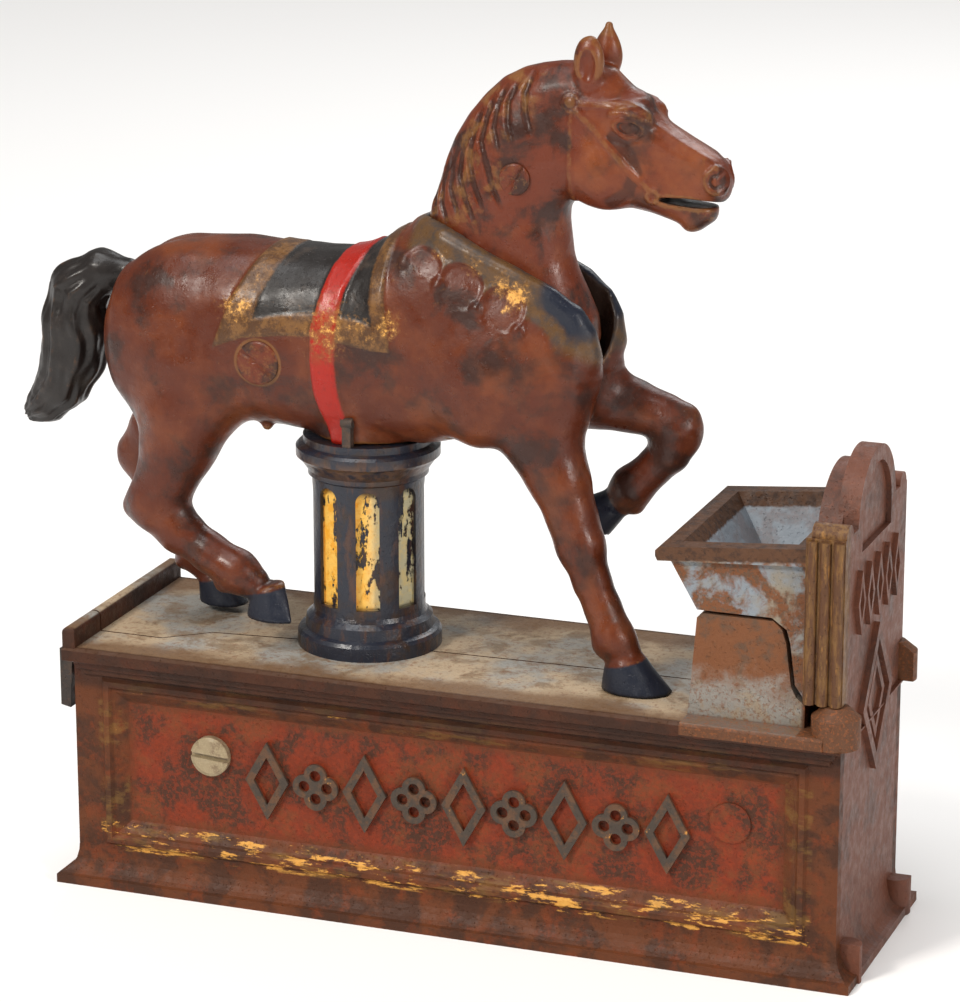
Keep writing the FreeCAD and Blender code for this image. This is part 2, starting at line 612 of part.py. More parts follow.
def end_ornament():
    """Raised rosette of lozenges above one long lozenge on the outer face."""
    pieces = []
    span = 7.2
    for index in range(-2, 3):
        half = (2.9, 7.0)
        ring = lozenge_ring(index * span, 82.0, half[0], half[1], 1.1, -HALF_LENGTH - 1.1, -HALF_LENGTH + 0.3)
        pieces.append(ring)
    pieces.append(lozenge_ring(0, 57.0, 12.0, 16.5, 2.2, -HALF_LENGTH - 1.3, -HALF_LENGTH + 0.3))
    pieces.append(lozenge_ring(0, 57.0, 6.6, 9.6, 1.6, -HALF_LENGTH - 0.9, -HALF_LENGTH + 0.3))
    for piece in pieces:
        piece.rotate(vec(0, 0, 0), Z_AXIS, 90)
    return pieces


# ---------------------------------------------------------------- column

def column(torso):
    """Fluted column with a moulded foot and capital, bored for the push rod."""
    profile = [(0, DECK_TOP), (FOOT_RADIUS, DECK_TOP), (FOOT_RADIUS, DECK_TOP + 3.0)]
    profile += [(FOOT_RADIUS - 0.5, DECK_TOP + 3.8), (FOOT_RADIUS - 1.7, DECK_TOP + 4.2)]
    profile += [(FOOT_RADIUS - 2.0, DECK_TOP + 6.6), (SHAFT_RADIUS + 0.4, DECK_TOP + 7.6)]
    profile += [(SHAFT_RADIUS, DECK_TOP + 8.6), (SHAFT_RADIUS, 94.6), (SHAFT_RADIUS + 0.9, 95.2)]
    profile += [(SHAFT_RADIUS + 0.9, 96.2), (SHAFT_RADIUS + 1.6, 97.2), (SHAFT_RADIUS + 2.6, 98.6)]
    profile += [(CAPITAL_RADIUS, 99.4), (CAPITAL_RADIUS, 101.4), (CAPITAL_RADIUS - 0.6, 102.0)]
    profile += [(CAPITAL_RADIUS - 1.6, 102.4), (CAPITAL_RADIUS - 1.6, COLUMN_TOP), (0, COLUMN_TOP)]
    corners = [vec(COLUMN_X + r, 0, z) for r, z in profile]
    face = Part.Face(Part.makePolygon(corners + corners[:1]))
    body = face.revolve(vec(COLUMN_X, 0, 0), Z_AXIS, 360)
    arch = NICHE_WIDTH / 2
    for index in range(NICHE_COUNT):
        niche = box(SHAFT_RADIUS - NICHE_DEPTH, SHAFT_RADIUS + 4, -arch, arch, NICHE_BOTTOM, NICHE_SPRING)
        top = rod(vec(SHAFT_RADIUS - NICHE_DEPTH, 0, NICHE_SPRING), vec(SHAFT_RADIUS + 4, 0, NICHE_SPRING), arch)
        niche = niche.fuse(top)
        niche.rotate(vec(0, 0, 0), Z_AXIS, 360.0 / NICHE_COUNT * index - 90 + NICHE_TURN)
        niche.translate(vec(COLUMN_X, 0, 0))
        body = body.cut(niche)
    ceiling = COLUMN_TOP - 3.2
    bore = Part.makeCylinder(COLUMN_BORE_RADIUS, ceiling - DECK_TOP + 1, vec(COLUMN_X, 0, DECK_TOP - 1), Z_AXIS)
    guide = Part.makeCylinder(ROD_RADIUS + ROD_GAP, 20, vec(COLUMN_X, 0, ceiling - 5), Z_AXIS)
    seat = torso.copy()
    seat.translate(vec(0, 0, -BODY_SEAT_GAP))
    screws = []
    for low, high in column_screw_ends():
        screws.append(rod(low, high, COLUMN_SCREW_RADIUS))
    return body.cut([bore, guide]).cut(seat).cut(screws).removeSplitter()


def column_screws():
    """Two screws that hold the column's foot from under the deck."""
    pieces = []
    for low, high in column_screw_ends():
        shank = rod(low, high, COLUMN_SCREW_RADIUS)
        head = rod(low, vec(low.x, low.y, DECK_UNDER), 2 * COLUMN_SCREW_RADIUS)
        pieces.append(shank.fuse(head))
    return Part.makeCompound(pieces)


# ---------------------------------------------------------------- horse body

# Torso rings: x, centre z, half height, half width
TORSO_RINGS = [
    (-87.2, 123.5, 5.0, 4.5), (-82.0, 125.0, 13.5, 10.0), (-72.0, 125.3, 18.6, 14.3),
    (-60.0, 125.4, 20.1, 16.4), (-46.0, 124.9, 19.9, 16.4), (-30.0, 124.2, 20.8, 16.2),
    (-13.0, 126.6, 23.4, 16.6), (1.0, 126.4, 22.2, 16.4), (13.0, 124.6, 18.6, 15.2),
    (22.5, 124.4, 13.6, 12.2), (28.6, 125.6, 6.6, 6.8),
]

# Legs: x, y, z, radius down each leg, near side on -Y
NEAR_FORE = [
    (15, -6.5, 118, 8.6), (17, -8.0, 106, 7.4), (21, -9.0, 99, 5.8), (24, -9.8, 92, 4.9),
    (26, -10.3, 86, 4.6), (28.6, -10.8, 79, 3.5), (31.4, -11.1, 73, 3.4), (34.0, -11.5, 67, 4.1), (36.6, -11.8, 63.4, 3.4),
]
FAR_FORE = [
    (17, 6.0, 117, 8.4), (24, 8.0, 114.8, 6.6), (31, 9.0, 113.0, 5.2), (37.5, 9.0, 111.4, 4.4),
    (41.2, 9.0, 108.8, 4.7), (39.4, 9.0, 103.4, 3.8), (35.2, 9.0, 98.9, 3.4), (30.9, 9.0, 94.8, 4.1), (28.0, 9.0, 91.2, 3.2),
]
NEAR_HIND = [
    (-63, -6.5, 117, 10.5), (-66, -8.0, 107, 9.6), (-68.6, -8.5, 99, 7.8), (-71.6, -9.0, 91.4, 6.0),
    (-74.0, -9.2, 85.4, 5.8), (-68.4, -9.4, 79.8, 4.6), (-61.0, -9.7, 75.4, 3.9), (-54.6, -10.0, 72.0, 4.3), (-50.4, -10.1, 69.6, 3.6),
]
FAR_HIND = [
    (-68, 6.5, 116, 10.0), (-75, 8.0, 106, 8.2), (-81.6, 8.5, 97.4, 6.0), (-85.8, 8.8, 91, 5.0),
    (-82.2, 9.0, 84, 4.2), (-77.4, 9.0, 76, 3.6), (-73.0, 9.0, 69.2, 4.0), (-70.6, 9.0, 65.6, 3.3),
]
TAIL = [
    (-84, 0, 135.4, 3.4), (-91, 0, 134.6, 5.0), (-96.4, 0, 129.4, 6.6), (-98.0, 0, 120.5, 7.0),
    (-98.8, 0, 112.4, 6.2), (-102.8, 0, 105.2, 4.4), (-108.4, 0, 101.2, 2.3),
]


def torso(inset):
    """Barrel of the horse through elliptical rings, or its hollow when inset is given."""
    wires = []
    last = len(TORSO_RINGS) - 1
    for index, (x, z, half_height, half_width) in enumerate(TORSO_RINGS):
        if inset:
            if index in (0, last):
                x += inset if index == 0 else -inset
        wires.append(ellipse_wire(vec(x, 0, z), X_AXIS, Z_AXIS, half_height - inset, half_width - inset))
    return Part.makeLoft(wires, True, False)


def wedge(radius, start_degrees, end_degrees, y0, y1):
    """Pie-shaped plate about the neck pivot, angles counted from +X toward +Z."""
    steps = 12
    points = [(PIVOT_X, PIVOT_Z)]
    for step in range(steps + 1):
        angle = math.radians(start_degrees + (end_degrees - start_degrees) * step / steps)
        points.append((PIVOT_X + radius * math.cos(angle), PIVOT_Z + radius * math.sin(angle)))
    return prism(points, y0, y1)


def body_halves(barrel):
    """Near and far castings: half of the barrel with two legs each."""
    slot = NECK_HALF_WIDTH + NECK_SIDE_GAP
    opening = wedge(60, -6, 142.5, -slot, slot)
    boss_room = rod(vec(PIVOT_X, -slot, PIVOT_Z), vec(PIVOT_X, slot, PIVOT_Z), 12.5)
    hollow = torso(BODY_WALL)
    web_room = wedge(WEB_RADIUS + 1.2, 90, 190, -slot, slot)
    rod_hole = Part.makeCylinder(ROD_RADIUS + ROD_GAP, 20, vec(COLUMN_X, 0, 95), Z_AXIS)
    pin = neck_pivot_pin()
    flank = flank_screw()
    legs = {
        -1: [(NEAR_FORE, (36.9, 63.2, 39.4, DECK_TOP, -12.0, 4.4, 7.6, 5.4)),
             (NEAR_HIND, (-49.4, 68.6, -45.3, 61.9, -10.2, 4.3, 7.2, 5.2))],
        1: [(FAR_HIND, (-69.6, 64.4, -66.2, 57.8, 9.0, 3.9, 6.6, 4.9))],
    }
    halves = []
    for side in (-1, 1):
        half = barrel
        for chain, hoof_sizes in legs[side]:
            half = half.fuse(limb(chain)).fuse(hoof(*hoof_sizes))
        if side > 0:
            raised = limb(FAR_FORE)
            foot_axis = vec(-5.2, 0, -4.0)
            foot = Part.makeCone(3.3, 5.0, foot_axis.Length, vec(28.0, 9.0, 91.2), foot_axis)
            half = half.fuse(raised).fuse(foot)
        keep = box(-200, 200, -60, 0, 0, 300) if side < 0 else box(-200, 200, 0, 60, 0, 300)
        half = half.cut([hollow, opening, boss_room, web_room.common(box(-200, 200, -60, 60, 0, 148.5)), rod_hole])
        half = half.common(keep).cut([pin, flank])
        halves.append(largest_solid(half))
    return halves


def largest_solid(shape):
    return max(shape.Solids, key=lambda solid: solid.Volume)


def tail(barrel):
    gap_barrel = barrel.copy()
    gap_barrel.translate(vec(-BODY_SEAT_GAP, 0, 0))
    return largest_solid(limb(TAIL).cut(gap_barrel))


def flank_screw():
    """Slotted screw through both body halves at the flank."""
    x, z = -47.0, 121.0
    shank = rod(vec(x, -16.6, z), vec(x, 15.6, z), 1.8)
    head = rod(vec(x, -16.9, z), vec(x, -15.6, z), 4.2)
    slot = box(x - 6, x + 6, -17.4, -16.3, z - 0.5, z + 0.5)
    slot.rotate(vec(x, 0, z), Y_AXIS, -45)
    return shank.fuse(head).cut(slot).removeSplitter()


def girth_lug():
    """Small upright key that stands on the capital against the belly."""
    x = COLUMN_X + 0.6
    y = -13.2
    plate = box(x - 1.0, x + 1.0, y - 0.9, y + 0.9, COLUMN_TOP, 109.4)
    knob = rod(vec(x - 1.3, y, 109.4), vec(x + 1.3, y, 109.4), 1.2)
    return plate.fuse(knob).removeSplitter()


# ---------------------------------------------------------------- head and neck

# Neck and head rings: centre x, centre z, half size in the side view, half width, tilt of the ring
NECK_RINGS = [
    (8.0, 141.5, 13.0, 8.9, -24.0), (4.6, 149.9, 17.0, 9.0, -17.0), (5.8, 161.2, 14.2, 8.4, -20.0),
    (9.6, 168.8, 14.4, 7.8, -31.0), (15.6, 173.0, 15.0, 7.4, -50.0),
]
HEAD_RINGS = [
    (14.0, 174.5, 11.4, 5.6, -98.0), (25.0, 173.4, 13.8, 7.2, -102.0), (33.6, 170.6, 12.0, 6.6, -105.0),
    (41.0, 166.6, 9.6, 5.5, -112.0), (48.2, 163.2, 8.6, 4.9, -116.0), (53.2, 162.6, 4.4, 3.4, -116.0),
]
POLL = [(1.6, 0, 174.2, 5.2), (6.4, 0, 178.6, 6.0), (13.2, 0, 181.4, 6.4), (21.0, 0, 182.2, 6.6)]
EARS = [(-1, 24.2, 186.0, 25.0, 195.2), (1, 25.2, 186.0, 26.6, 197.2)]


def ring_loft(rings, inset):
    wires = []
    for x, z, half, half_width, tilt in rings:
        angle = math.radians(tilt)
        along = vec(math.cos(angle), 0, math.sin(angle))
        normal = along.cross(Y_AXIS)
        wires.append(ellipse_wire(vec(x, 0, z), normal, along, half - inset, half_width - inset))
    return Part.makeLoft(wires, True, False)


def neck_solid():
    """Neck, head, ears and the flat root that works inside the body."""
    neck = ring_loft(NECK_RINGS, 0)
    head = ring_loft(HEAD_RINGS, 0)
    root = wedge(WEB_RADIUS, WEB_START, WEB_END, -NECK_HALF_WIDTH + 0.6, NECK_HALF_WIDTH - 0.6)
    boss = rod(vec(PIVOT_X, -NECK_HALF_WIDTH, PIVOT_Z), vec(PIVOT_X, NECK_HALF_WIDTH, PIVOT_Z), 9.4)
    throat_line = [(-4, 152), (-6.5, 144), (PIVOT_X - 8.6, PIVOT_Z - 3.5), (PIVOT_X + 9.2, PIVOT_Z - 1.0)]
    throat_line += [(24.6, 133.5), (22.4, 141), (20.6, 146.5), (19.8, 152)]
    throat = prism(throat_line, -NECK_HALF_WIDTH + 0.6, NECK_HALF_WIDTH - 0.6)
    solid = neck.fuse([head, limb(POLL), root, boss, throat])
    for side, x0, z0, x1, z1 in EARS:
        ear = Part.makeCone(3.2, 0.5, z1 - z0, vec(x0, side * 4.6, z0), vec(x1 - x0, 0, z1 - z0))
        solid = solid.fuse(ear)
    side_room = box(-60, 60, -NECK_HALF_WIDTH, NECK_HALF_WIDTH, 90, 220)
    return solid.common(side_room)


def mouth_slot():
    """Slot between the lips that holds a coin flat."""
    slot = box(40.5, 62, -20, 20, -1.0, 1.0)
    slot.translate(vec(0, 0, 160.8))
    slot.rotate(vec(40.5, 0, 160.8), Y_AXIS, 2)
    return slot


def neck_screw():
    """Slotted screw that holds the two halves of the neck together."""
    x, z = 9.6, 164.3
    shank = rod(vec(x, -8.4, z), vec(x, 8.0, z), 1.5)
    head = rod(vec(x, -8.8, z), vec(x, -7.6, z), 3.4)
    slot = box(x - 5, x + 5, -9.4, -8.3, z - 0.45, z + 0.45)
    slot.rotate(vec(x, 0, z), Y_AXIS, -60)
    return shank.fuse(head).cut(slot).removeSplitter()


def head_halves():
    """Near and far halves of the head and neck, hollow, with room for the arm."""
    solid = neck_solid()
    arm_room = arm_shape(0.0)
    bore = rod(vec(PIVOT_X, -30, PIVOT_Z), vec(PIVOT_X, 30, PIVOT_Z), PIN_RADIUS + RUNNING_GAP)
    hollow = ring_loft(NECK_RINGS[1:], 3.2)
    solid = solid.cut([mouth_slot(), bore, hollow.common(box(-60, 60, -20, 20, 152, 220)), neck_screw()])
    solid = solid.cut(arm_room)
    near = solid.common(box(-60, 80, -30, 0, 90, 220))
    far = solid.common(box(-60, 80, 0, 30, 90, 220))
    return largest_solid(near), largest_solid(far)


def arm_shape(extra):
    """Flat arm clamped between the neck halves, reaching back to the push rod."""
    angle = math.radians(180 + NOD_DEGREES / 2)
    end_x = PIVOT_X + NECK_ARM * math.cos(angle)
    end_z = PIVOT_Z + NECK_ARM * math.sin(angle)
    half = 1.4 + extra
    across = vec(math.sin(angle), 0, -math.cos(angle))
    near = vec(PIVOT_X, 0, PIVOT_Z)
    far = vec(end_x, 0, end_z)
    corners = [near + across * 3.2, far + across * 2.0, far - across * 2.0, near - across * 3.2]
    bar = prism([(p.x, p.z) for p in corners], -half, half)
    hub = rod(vec(PIVOT_X, -half, PIVOT_Z), vec(PIVOT_X, half, PIVOT_Z), 5.0)
    tip = rod(vec(end_x, -half, end_z), vec(end_x, half, end_z), 2.4)
    return bar.fuse([hub, tip])


def neck_arm():
    angle = math.radians(180 + NOD_DEGREES / 2)
    end_x = PIVOT_X + NECK_ARM * math.cos(angle)
    end_z = PIVOT_Z + NECK_ARM * math.sin(angle)
    pin = rod(vec(end_x, -4.4, end_z), vec(end_x, 4.4, end_z), 1.2)
    bore = rod(vec(PIVOT_X, -30, PIVOT_Z), vec(PIVOT_X, 30, PIVOT_Z), PIN_RADIUS + RUNNING_GAP)
    return arm_shape(0.0).fuse(pin).cut(bore).removeSplitter()


def neck_pivot_pin():
    half = NECK_HALF_WIDTH + NECK_SIDE_GAP + 2.4
    return rod(vec(PIVOT_X, -half, PIVOT_Z), vec(PIVOT_X, half, PIVOT_Z), PIN_RADIUS)


# ---------------------------------------------------------------- mechanism

def push_rod():
    """Rod up the column, with a foot, a spring collar and a slotted fork for the arm."""
    angle = math.radians(180 + NOD_DEGREES / 2)
    pin_x = PIVOT_X + NECK_ARM * math.cos(angle)
    pin_z = PIVOT_Z + NECK_ARM * math.sin(angle)
    slot_left = PIVOT_X - NECK_ARM - 1.2 - 0.5
    slot_right = pin_x + 1.2 + 0.5
    bar_z = pin_z - 5.6
    stem = rod(vec(COLUMN_X, 0, ROD_FOOT_Z), vec(COLUMN_X, 0, bar_z + 1.0), ROD_RADIUS)
    foot = rod(vec(COLUMN_X, 0, ROD_FOOT_Z), vec(COLUMN_X, 0, ROD_FOOT_Z + 1.6), 3.2)
    collar = rod(vec(COLUMN_X, 0, 61), vec(COLUMN_X, 0, 63), 5.4)
    bar = box(COLUMN_X - 1.6, slot_right + 1.2, -4.4, 4.4, bar_z - 1.0, bar_z + 1.2)
    cheeks = []
    for side in (-1, 1):
        y0, y1 = sorted((side * 2.2, side * 4.4))
        cheek = box(slot_left - 1.2, slot_right + 1.2, y0, y1, bar_z, pin_z + 3.0)
        hole = box(slot_left, slot_right, y0 - 1, y1 + 1, pin_z - 1.7, pin_z + 1.7)
        cheeks.append(cheek.cut(hole))
    return stem.fuse([foot, collar, bar] + cheeks).removeSplitter()


def return_spring():
    """Compression spring between the rod's collar and the top of the column."""
    low = 63.3
    high = COLUMN_TOP - 3.2 - 0.3
    turns = 8
    mean_radius = 4.2
    wire_radius = 0.55
    height = high - low - 2 * wire_radius
    path = Part.makeHelix(height / turns, height, mean_radius)
    circle = Part.makeCircle(wire_radius, vec(mean_radius, 0, 0), Y_AXIS)
    spring = Part.Wire([path.Edges[0]] if len(path.Edges) == 1 else path.Edges).makePipeShell([Part.Wire([circle])], True, True)
    spring.translate(vec(COLUMN_X, 0, low + wire_radius))
    return spring


def lever():
    """Hand lever: thumb tab outside, arm under the push rod, short arm up to the link."""
    half = LEVER_HALF_WIDTH
    thick = LEVER_HALF_THICKNESS
    tip_z = ROD_FOOT_Z - LEVER_GAP - thick
    tab_x = -HALF_LENGTH - TAB_REACH
    bend_x = LEFT_SCREW_X + 5.5
    heel_x = COLUMN_X - 7.5
    top_line = [(tab_x, 41.5 + thick), (LEVER_PIVOT_X, LEVER_PIVOT_Z + 3.0), (bend_x, LEVER_PIVOT_Z - 0.2 + thick)]
    top_line += [(heel_x + 0.8, tip_z + thick), (COLUMN_X + 1.0, tip_z + thick)]
    low_line = [(COLUMN_X + 1.0, tip_z - thick), (heel_x - 0.8, tip_z - thick)]
    low_line += [(bend_x - 1.0, LEVER_PIVOT_Z - 0.2 - thick), (LEVER_PIVOT_X, LEVER_PIVOT_Z - 3.0)]
    low_line += [(tab_x, 41.5 - thick)]
    bar = prism(top_line + low_line, -half, half)
    tab = prism([(tab_x - 2.4, 33.5), (tab_x, 33.0), (tab_x + 0.6, 44.0), (tab_x + 0.2, 48.0), (tab_x - 2.4, 47.0)], -5.0, 5.0)
    hub = rod(vec(LEVER_PIVOT_X, -half, LEVER_PIVOT_Z), vec(LEVER_PIVOT_X, half, LEVER_PIVOT_Z), 4.2)
    up_z = LEVER_PIVOT_Z + LEVER_UP_ARM
    up_arm = prism([(LEVER_PIVOT_X - 1.6, LEVER_PIVOT_Z), (LEVER_PIVOT_X + 1.6, LEVER_PIVOT_Z),
                    (LEVER_PIVOT_X + 1.4, up_z + 1.4), (LEVER_PIVOT_X - 1.4, up_z + 1.4)], -half, half)
    pin = rod(vec(LEVER_PIVOT_X, 0, up_z), vec(LEVER_PIVOT_X, LINK_Y + LINK_RADIUS + 0.6, up_z), 1.0)
    bore = rod(vec(LEVER_PIVOT_X, -30, LEVER_PIVOT_Z), vec(LEVER_PIVOT_X, 30, LEVER_PIVOT_Z), 1.6 + RUNNING_GAP)
    return bar.fuse([tab, hub, up_arm, pin]).cut(bore).removeSplitter()


def lever_pin():
    """Pivot pin of the lever, held between the two long walls."""
    half = INNER_HALF_WIDTH
    return rod(vec(LEVER_PIVOT_X, -half, LEVER_PIVOT_Z), vec(LEVER_PIVOT_X, half, LEVER_PIVOT_Z), 1.6)


def case_screw(x, side):
    """Long screw through the box: slotted head on one side, end peened on the other."""
    head_y = side * (HALF_WIDTH - PANEL_DEPTH)
    tail_y = -head_y
    shank = rod(vec(x, -abs(head_y), SCREW_Z), vec(x, abs(head_y), SCREW_Z), SCREW_RADIUS)
    head = rod(vec(x, head_y, SCREW_Z), vec(x, head_y + side * 1.5, SCREW_Z), SCREW_HEAD_RADIUS)
    cone = Part.makeCone(SCREW_HEAD_RADIUS, SCREW_HEAD_RADIUS - 0.8, 0.4, vec(x, head_y + side * 1.5, SCREW_Z), vec(0, side, 0))
    slot = box(x - 6, x + 6, min(head_y + side * 0.9, head_y + side * 3), max(head_y + side * 0.9, head_y + side * 3), SCREW_Z - 0.55, SCREW_Z + 0.55)
    slot.rotate(vec(x, 0, SCREW_Z), Y_AXIS, 4)
    end = rod(vec(x, tail_y, SCREW_Z), vec(x, tail_y - side * 0.5, SCREW_Z), SCREW_HEAD_RADIUS)
    return shank.fuse([head, cone, end]).cut(slot).removeSplitter()


def build():
    os.makedirs("parts", exist_ok=True)
    shell = case_shell()
    barrel = torso(0)
    front, rear = case_halves(shell)
    near_half, far_half = body_halves(barrel)
    head_near, head_far = head_halves()
    nodes = {
        "front_case": front, "rear_case": rear, "left_end_plate": left_end_plate(shell), "end_plate": end_plate(shell),
        "manger_seat": manger_seat(shell), "hopper": hopper(), "trap_door": trap_door(), "trap_pin": trap_pin(),
        "trap_link": trap_link(), "floor_plate": floor_plate(), "floor_screws": floor_screws(), "coin_door": coin_door(),
        "column": column(barrel), "column_screws": column_screws(), "body_near": near_half, "body_far": far_half,
        "tail": tail(barrel), "girth_lug": girth_lug(), "flank_screw": flank_screw(), "head_near": head_near,
        "head_far": head_far, "neck_screw": neck_screw(), "neck_arm": neck_arm(), "neck_pivot_pin": neck_pivot_pin(),
        "push_rod": push_rod(), "return_spring": return_spring(), "lever": lever(), "lever_pin": lever_pin(),
        "case_screw_left": case_screw(LEFT_SCREW_X, -1), "case_screw_right": case_screw(RIGHT_SCREW_X, 1),
    }
    for name, shape in nodes.items():
        shape.exportStep("parts/" + name + ".step")
        print(name, "solids", len(shape.Solids), "volume", round(shape.Volume, 1), "valid", shape.isValid())


build()
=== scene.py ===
import math
import bmesh
import bpy
import numpy as np
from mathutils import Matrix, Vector, geometry


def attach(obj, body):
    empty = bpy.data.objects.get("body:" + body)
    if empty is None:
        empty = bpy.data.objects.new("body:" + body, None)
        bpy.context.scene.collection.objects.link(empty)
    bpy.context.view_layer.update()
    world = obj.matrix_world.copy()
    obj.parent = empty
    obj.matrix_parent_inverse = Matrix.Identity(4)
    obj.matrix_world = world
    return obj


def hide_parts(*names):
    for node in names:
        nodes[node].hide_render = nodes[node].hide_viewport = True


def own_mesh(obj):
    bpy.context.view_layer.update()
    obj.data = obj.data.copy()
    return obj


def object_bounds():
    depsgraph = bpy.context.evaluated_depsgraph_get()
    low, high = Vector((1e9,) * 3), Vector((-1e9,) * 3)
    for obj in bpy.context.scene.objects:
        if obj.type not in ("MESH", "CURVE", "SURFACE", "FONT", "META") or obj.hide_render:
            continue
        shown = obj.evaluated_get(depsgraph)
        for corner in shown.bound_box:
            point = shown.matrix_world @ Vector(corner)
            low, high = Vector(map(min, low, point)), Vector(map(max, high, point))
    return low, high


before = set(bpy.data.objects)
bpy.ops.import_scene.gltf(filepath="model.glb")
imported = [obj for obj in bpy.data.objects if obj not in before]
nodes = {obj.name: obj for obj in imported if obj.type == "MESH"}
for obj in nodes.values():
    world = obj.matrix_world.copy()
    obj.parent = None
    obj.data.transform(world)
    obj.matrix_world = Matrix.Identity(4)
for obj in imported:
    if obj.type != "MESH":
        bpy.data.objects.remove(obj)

cadLow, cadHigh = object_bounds()
mm = 0.001

view = {
    "azimuth": 20.503, "elevation": 16.416, "roll": -0.055, "distance": 0.862,
    "aim": (-0.0009, 0.0, 0.09084), "lens": 142.4, "sensor": 36.0,
}


def placeCamera():
    az, el = math.radians(view["azimuth"]), math.radians(view["elevation"])
    back = Vector((math.sin(az) * math.cos(el), -math.cos(az) * math.cos(el), math.sin(el)))
    data = bpy.data.cameras.new("viewCamera")
    data.sensor_fit = "AUTO"
    data.sensor_width = view["sensor"]
    data.lens = view["lens"]
    data.clip_start = 0.05
    camera = bpy.data.objects.new("viewCamera", data)
    bpy.context.collection.objects.link(camera)
    camera.location = Vector(view["aim"]) + back * view["distance"]
    turn = back.to_track_quat("Z", "Y").to_matrix().to_4x4()
    camera.rotation_euler = turn.to_euler()
    camera.rotation_euler.rotate_axis("Z", math.radians(view["roll"]))
    bpy.context.scene.camera = camera


placeCamera()
print("camera placed")


def smoothMin(first, second, width):
    h = np.clip(0.5 + 0.5 * (second - first) / width, 0.0, 1.0)
    return second + (first - second) * h - width * h * (1.0 - h)


def smoothMax(first, second, width):
    return -smoothMin(-first, -second, width)


def ramp(value, low, high):
    t = np.clip((value - low) / (high - low), 0.0, 1.0)
    return t * t * (3.0 - 2.0 * t)


def taper(points, start, end, flat=1.0):  # rod with round ends, thick at one end
    scale = np.array([1.0, flat, 1.0], np.float32)
    a = np.array(start[:3], np.float32) * scale
    axis = np.array(end[:3], np.float32) * scale - a
    away = points * scale - a
    t = np.clip(away @ axis / float(axis @ axis), 0.0, 1.0)
    reach = np.linalg.norm(away - t[:, None] * axis, axis=1)
    return reach - (start[3] + (end[3] - start[3]) * t)


def nearBox(points, low, high, field):  # works the field out only near its own box
    low, high = np.array(low, np.float32) - 8, np.array(high, np.float32) + 8
    inside = ((points > low) & (points < high)).all(1)
    result = np.full(len(points), 8.0, np.float32)
    if inside.any():
        result[inside] = field(points[inside])
    return result


def egg(points, centre, radii):
    scaled = (points - np.array(centre, np.float32)) / np.array(radii, np.float32)
    size = np.linalg.norm(scaled, axis=1)
    slope = np.linalg.norm(scaled / np.array(radii, np.float32), axis=1)
    return (size - 1.0) * size / np.maximum(slope, 1e-4)


def chain(points, stations, join, flat=1.0):
    whole = None
    for start, end in zip(stations[:-1], stations[1:]):
        part = taper(points, start, end, flat)
        whole = part if whole is None else smoothMin(whole, part, join)
    return whole


def softTable(places, values, reach):
    fine = np.arange(min(places) - 20, max(places) + 20, 0.5)
    level = np.interp(fine, places, values)
    half = int(reach / 0.5)
    bell = np.hanning(2 * half + 3)[1:-1]
    bell /= bell.sum()
    level = np.convolve(np.pad(level, half, mode="edge"), bell, mode="valid")
    return fine, level


def lineDistance(flatPoints, line):
    best = np.full(len(flatPoints), 1e6, np.float32)
    for a, b in zip(line[:-1], line[1:]):
        a, b = np.array(a, np.float32), np.array(b, np.float32)
        axis = b - a
        t = np.clip((flatPoints - a) @ axis / float(axis @ axis), 0, 1)
        best = np.minimum(best, np.linalg.norm(flatPoints - a - t[:, None] * axis, axis=1))
    return best


def areaDistance(flatPoints, outline):
    closed = list(outline) + [outline[0]]
    away = lineDistance(flatPoints, closed)
    x, z = flatPoints[:, 0], flatPoints[:, 1]
    inside = np.zeros(len(flatPoints), bool)
    for (ax, az), (bx, bz) in zip(closed[:-1], closed[1:]):
        if az == bz:
            continue
        crosses = (z > min(az, bz)) & (z <= max(az, bz))
        inside ^= crosses & (x < ax + (z - az) * (bx - ax) / (bz - az))
    return np.where(inside, -away, away)


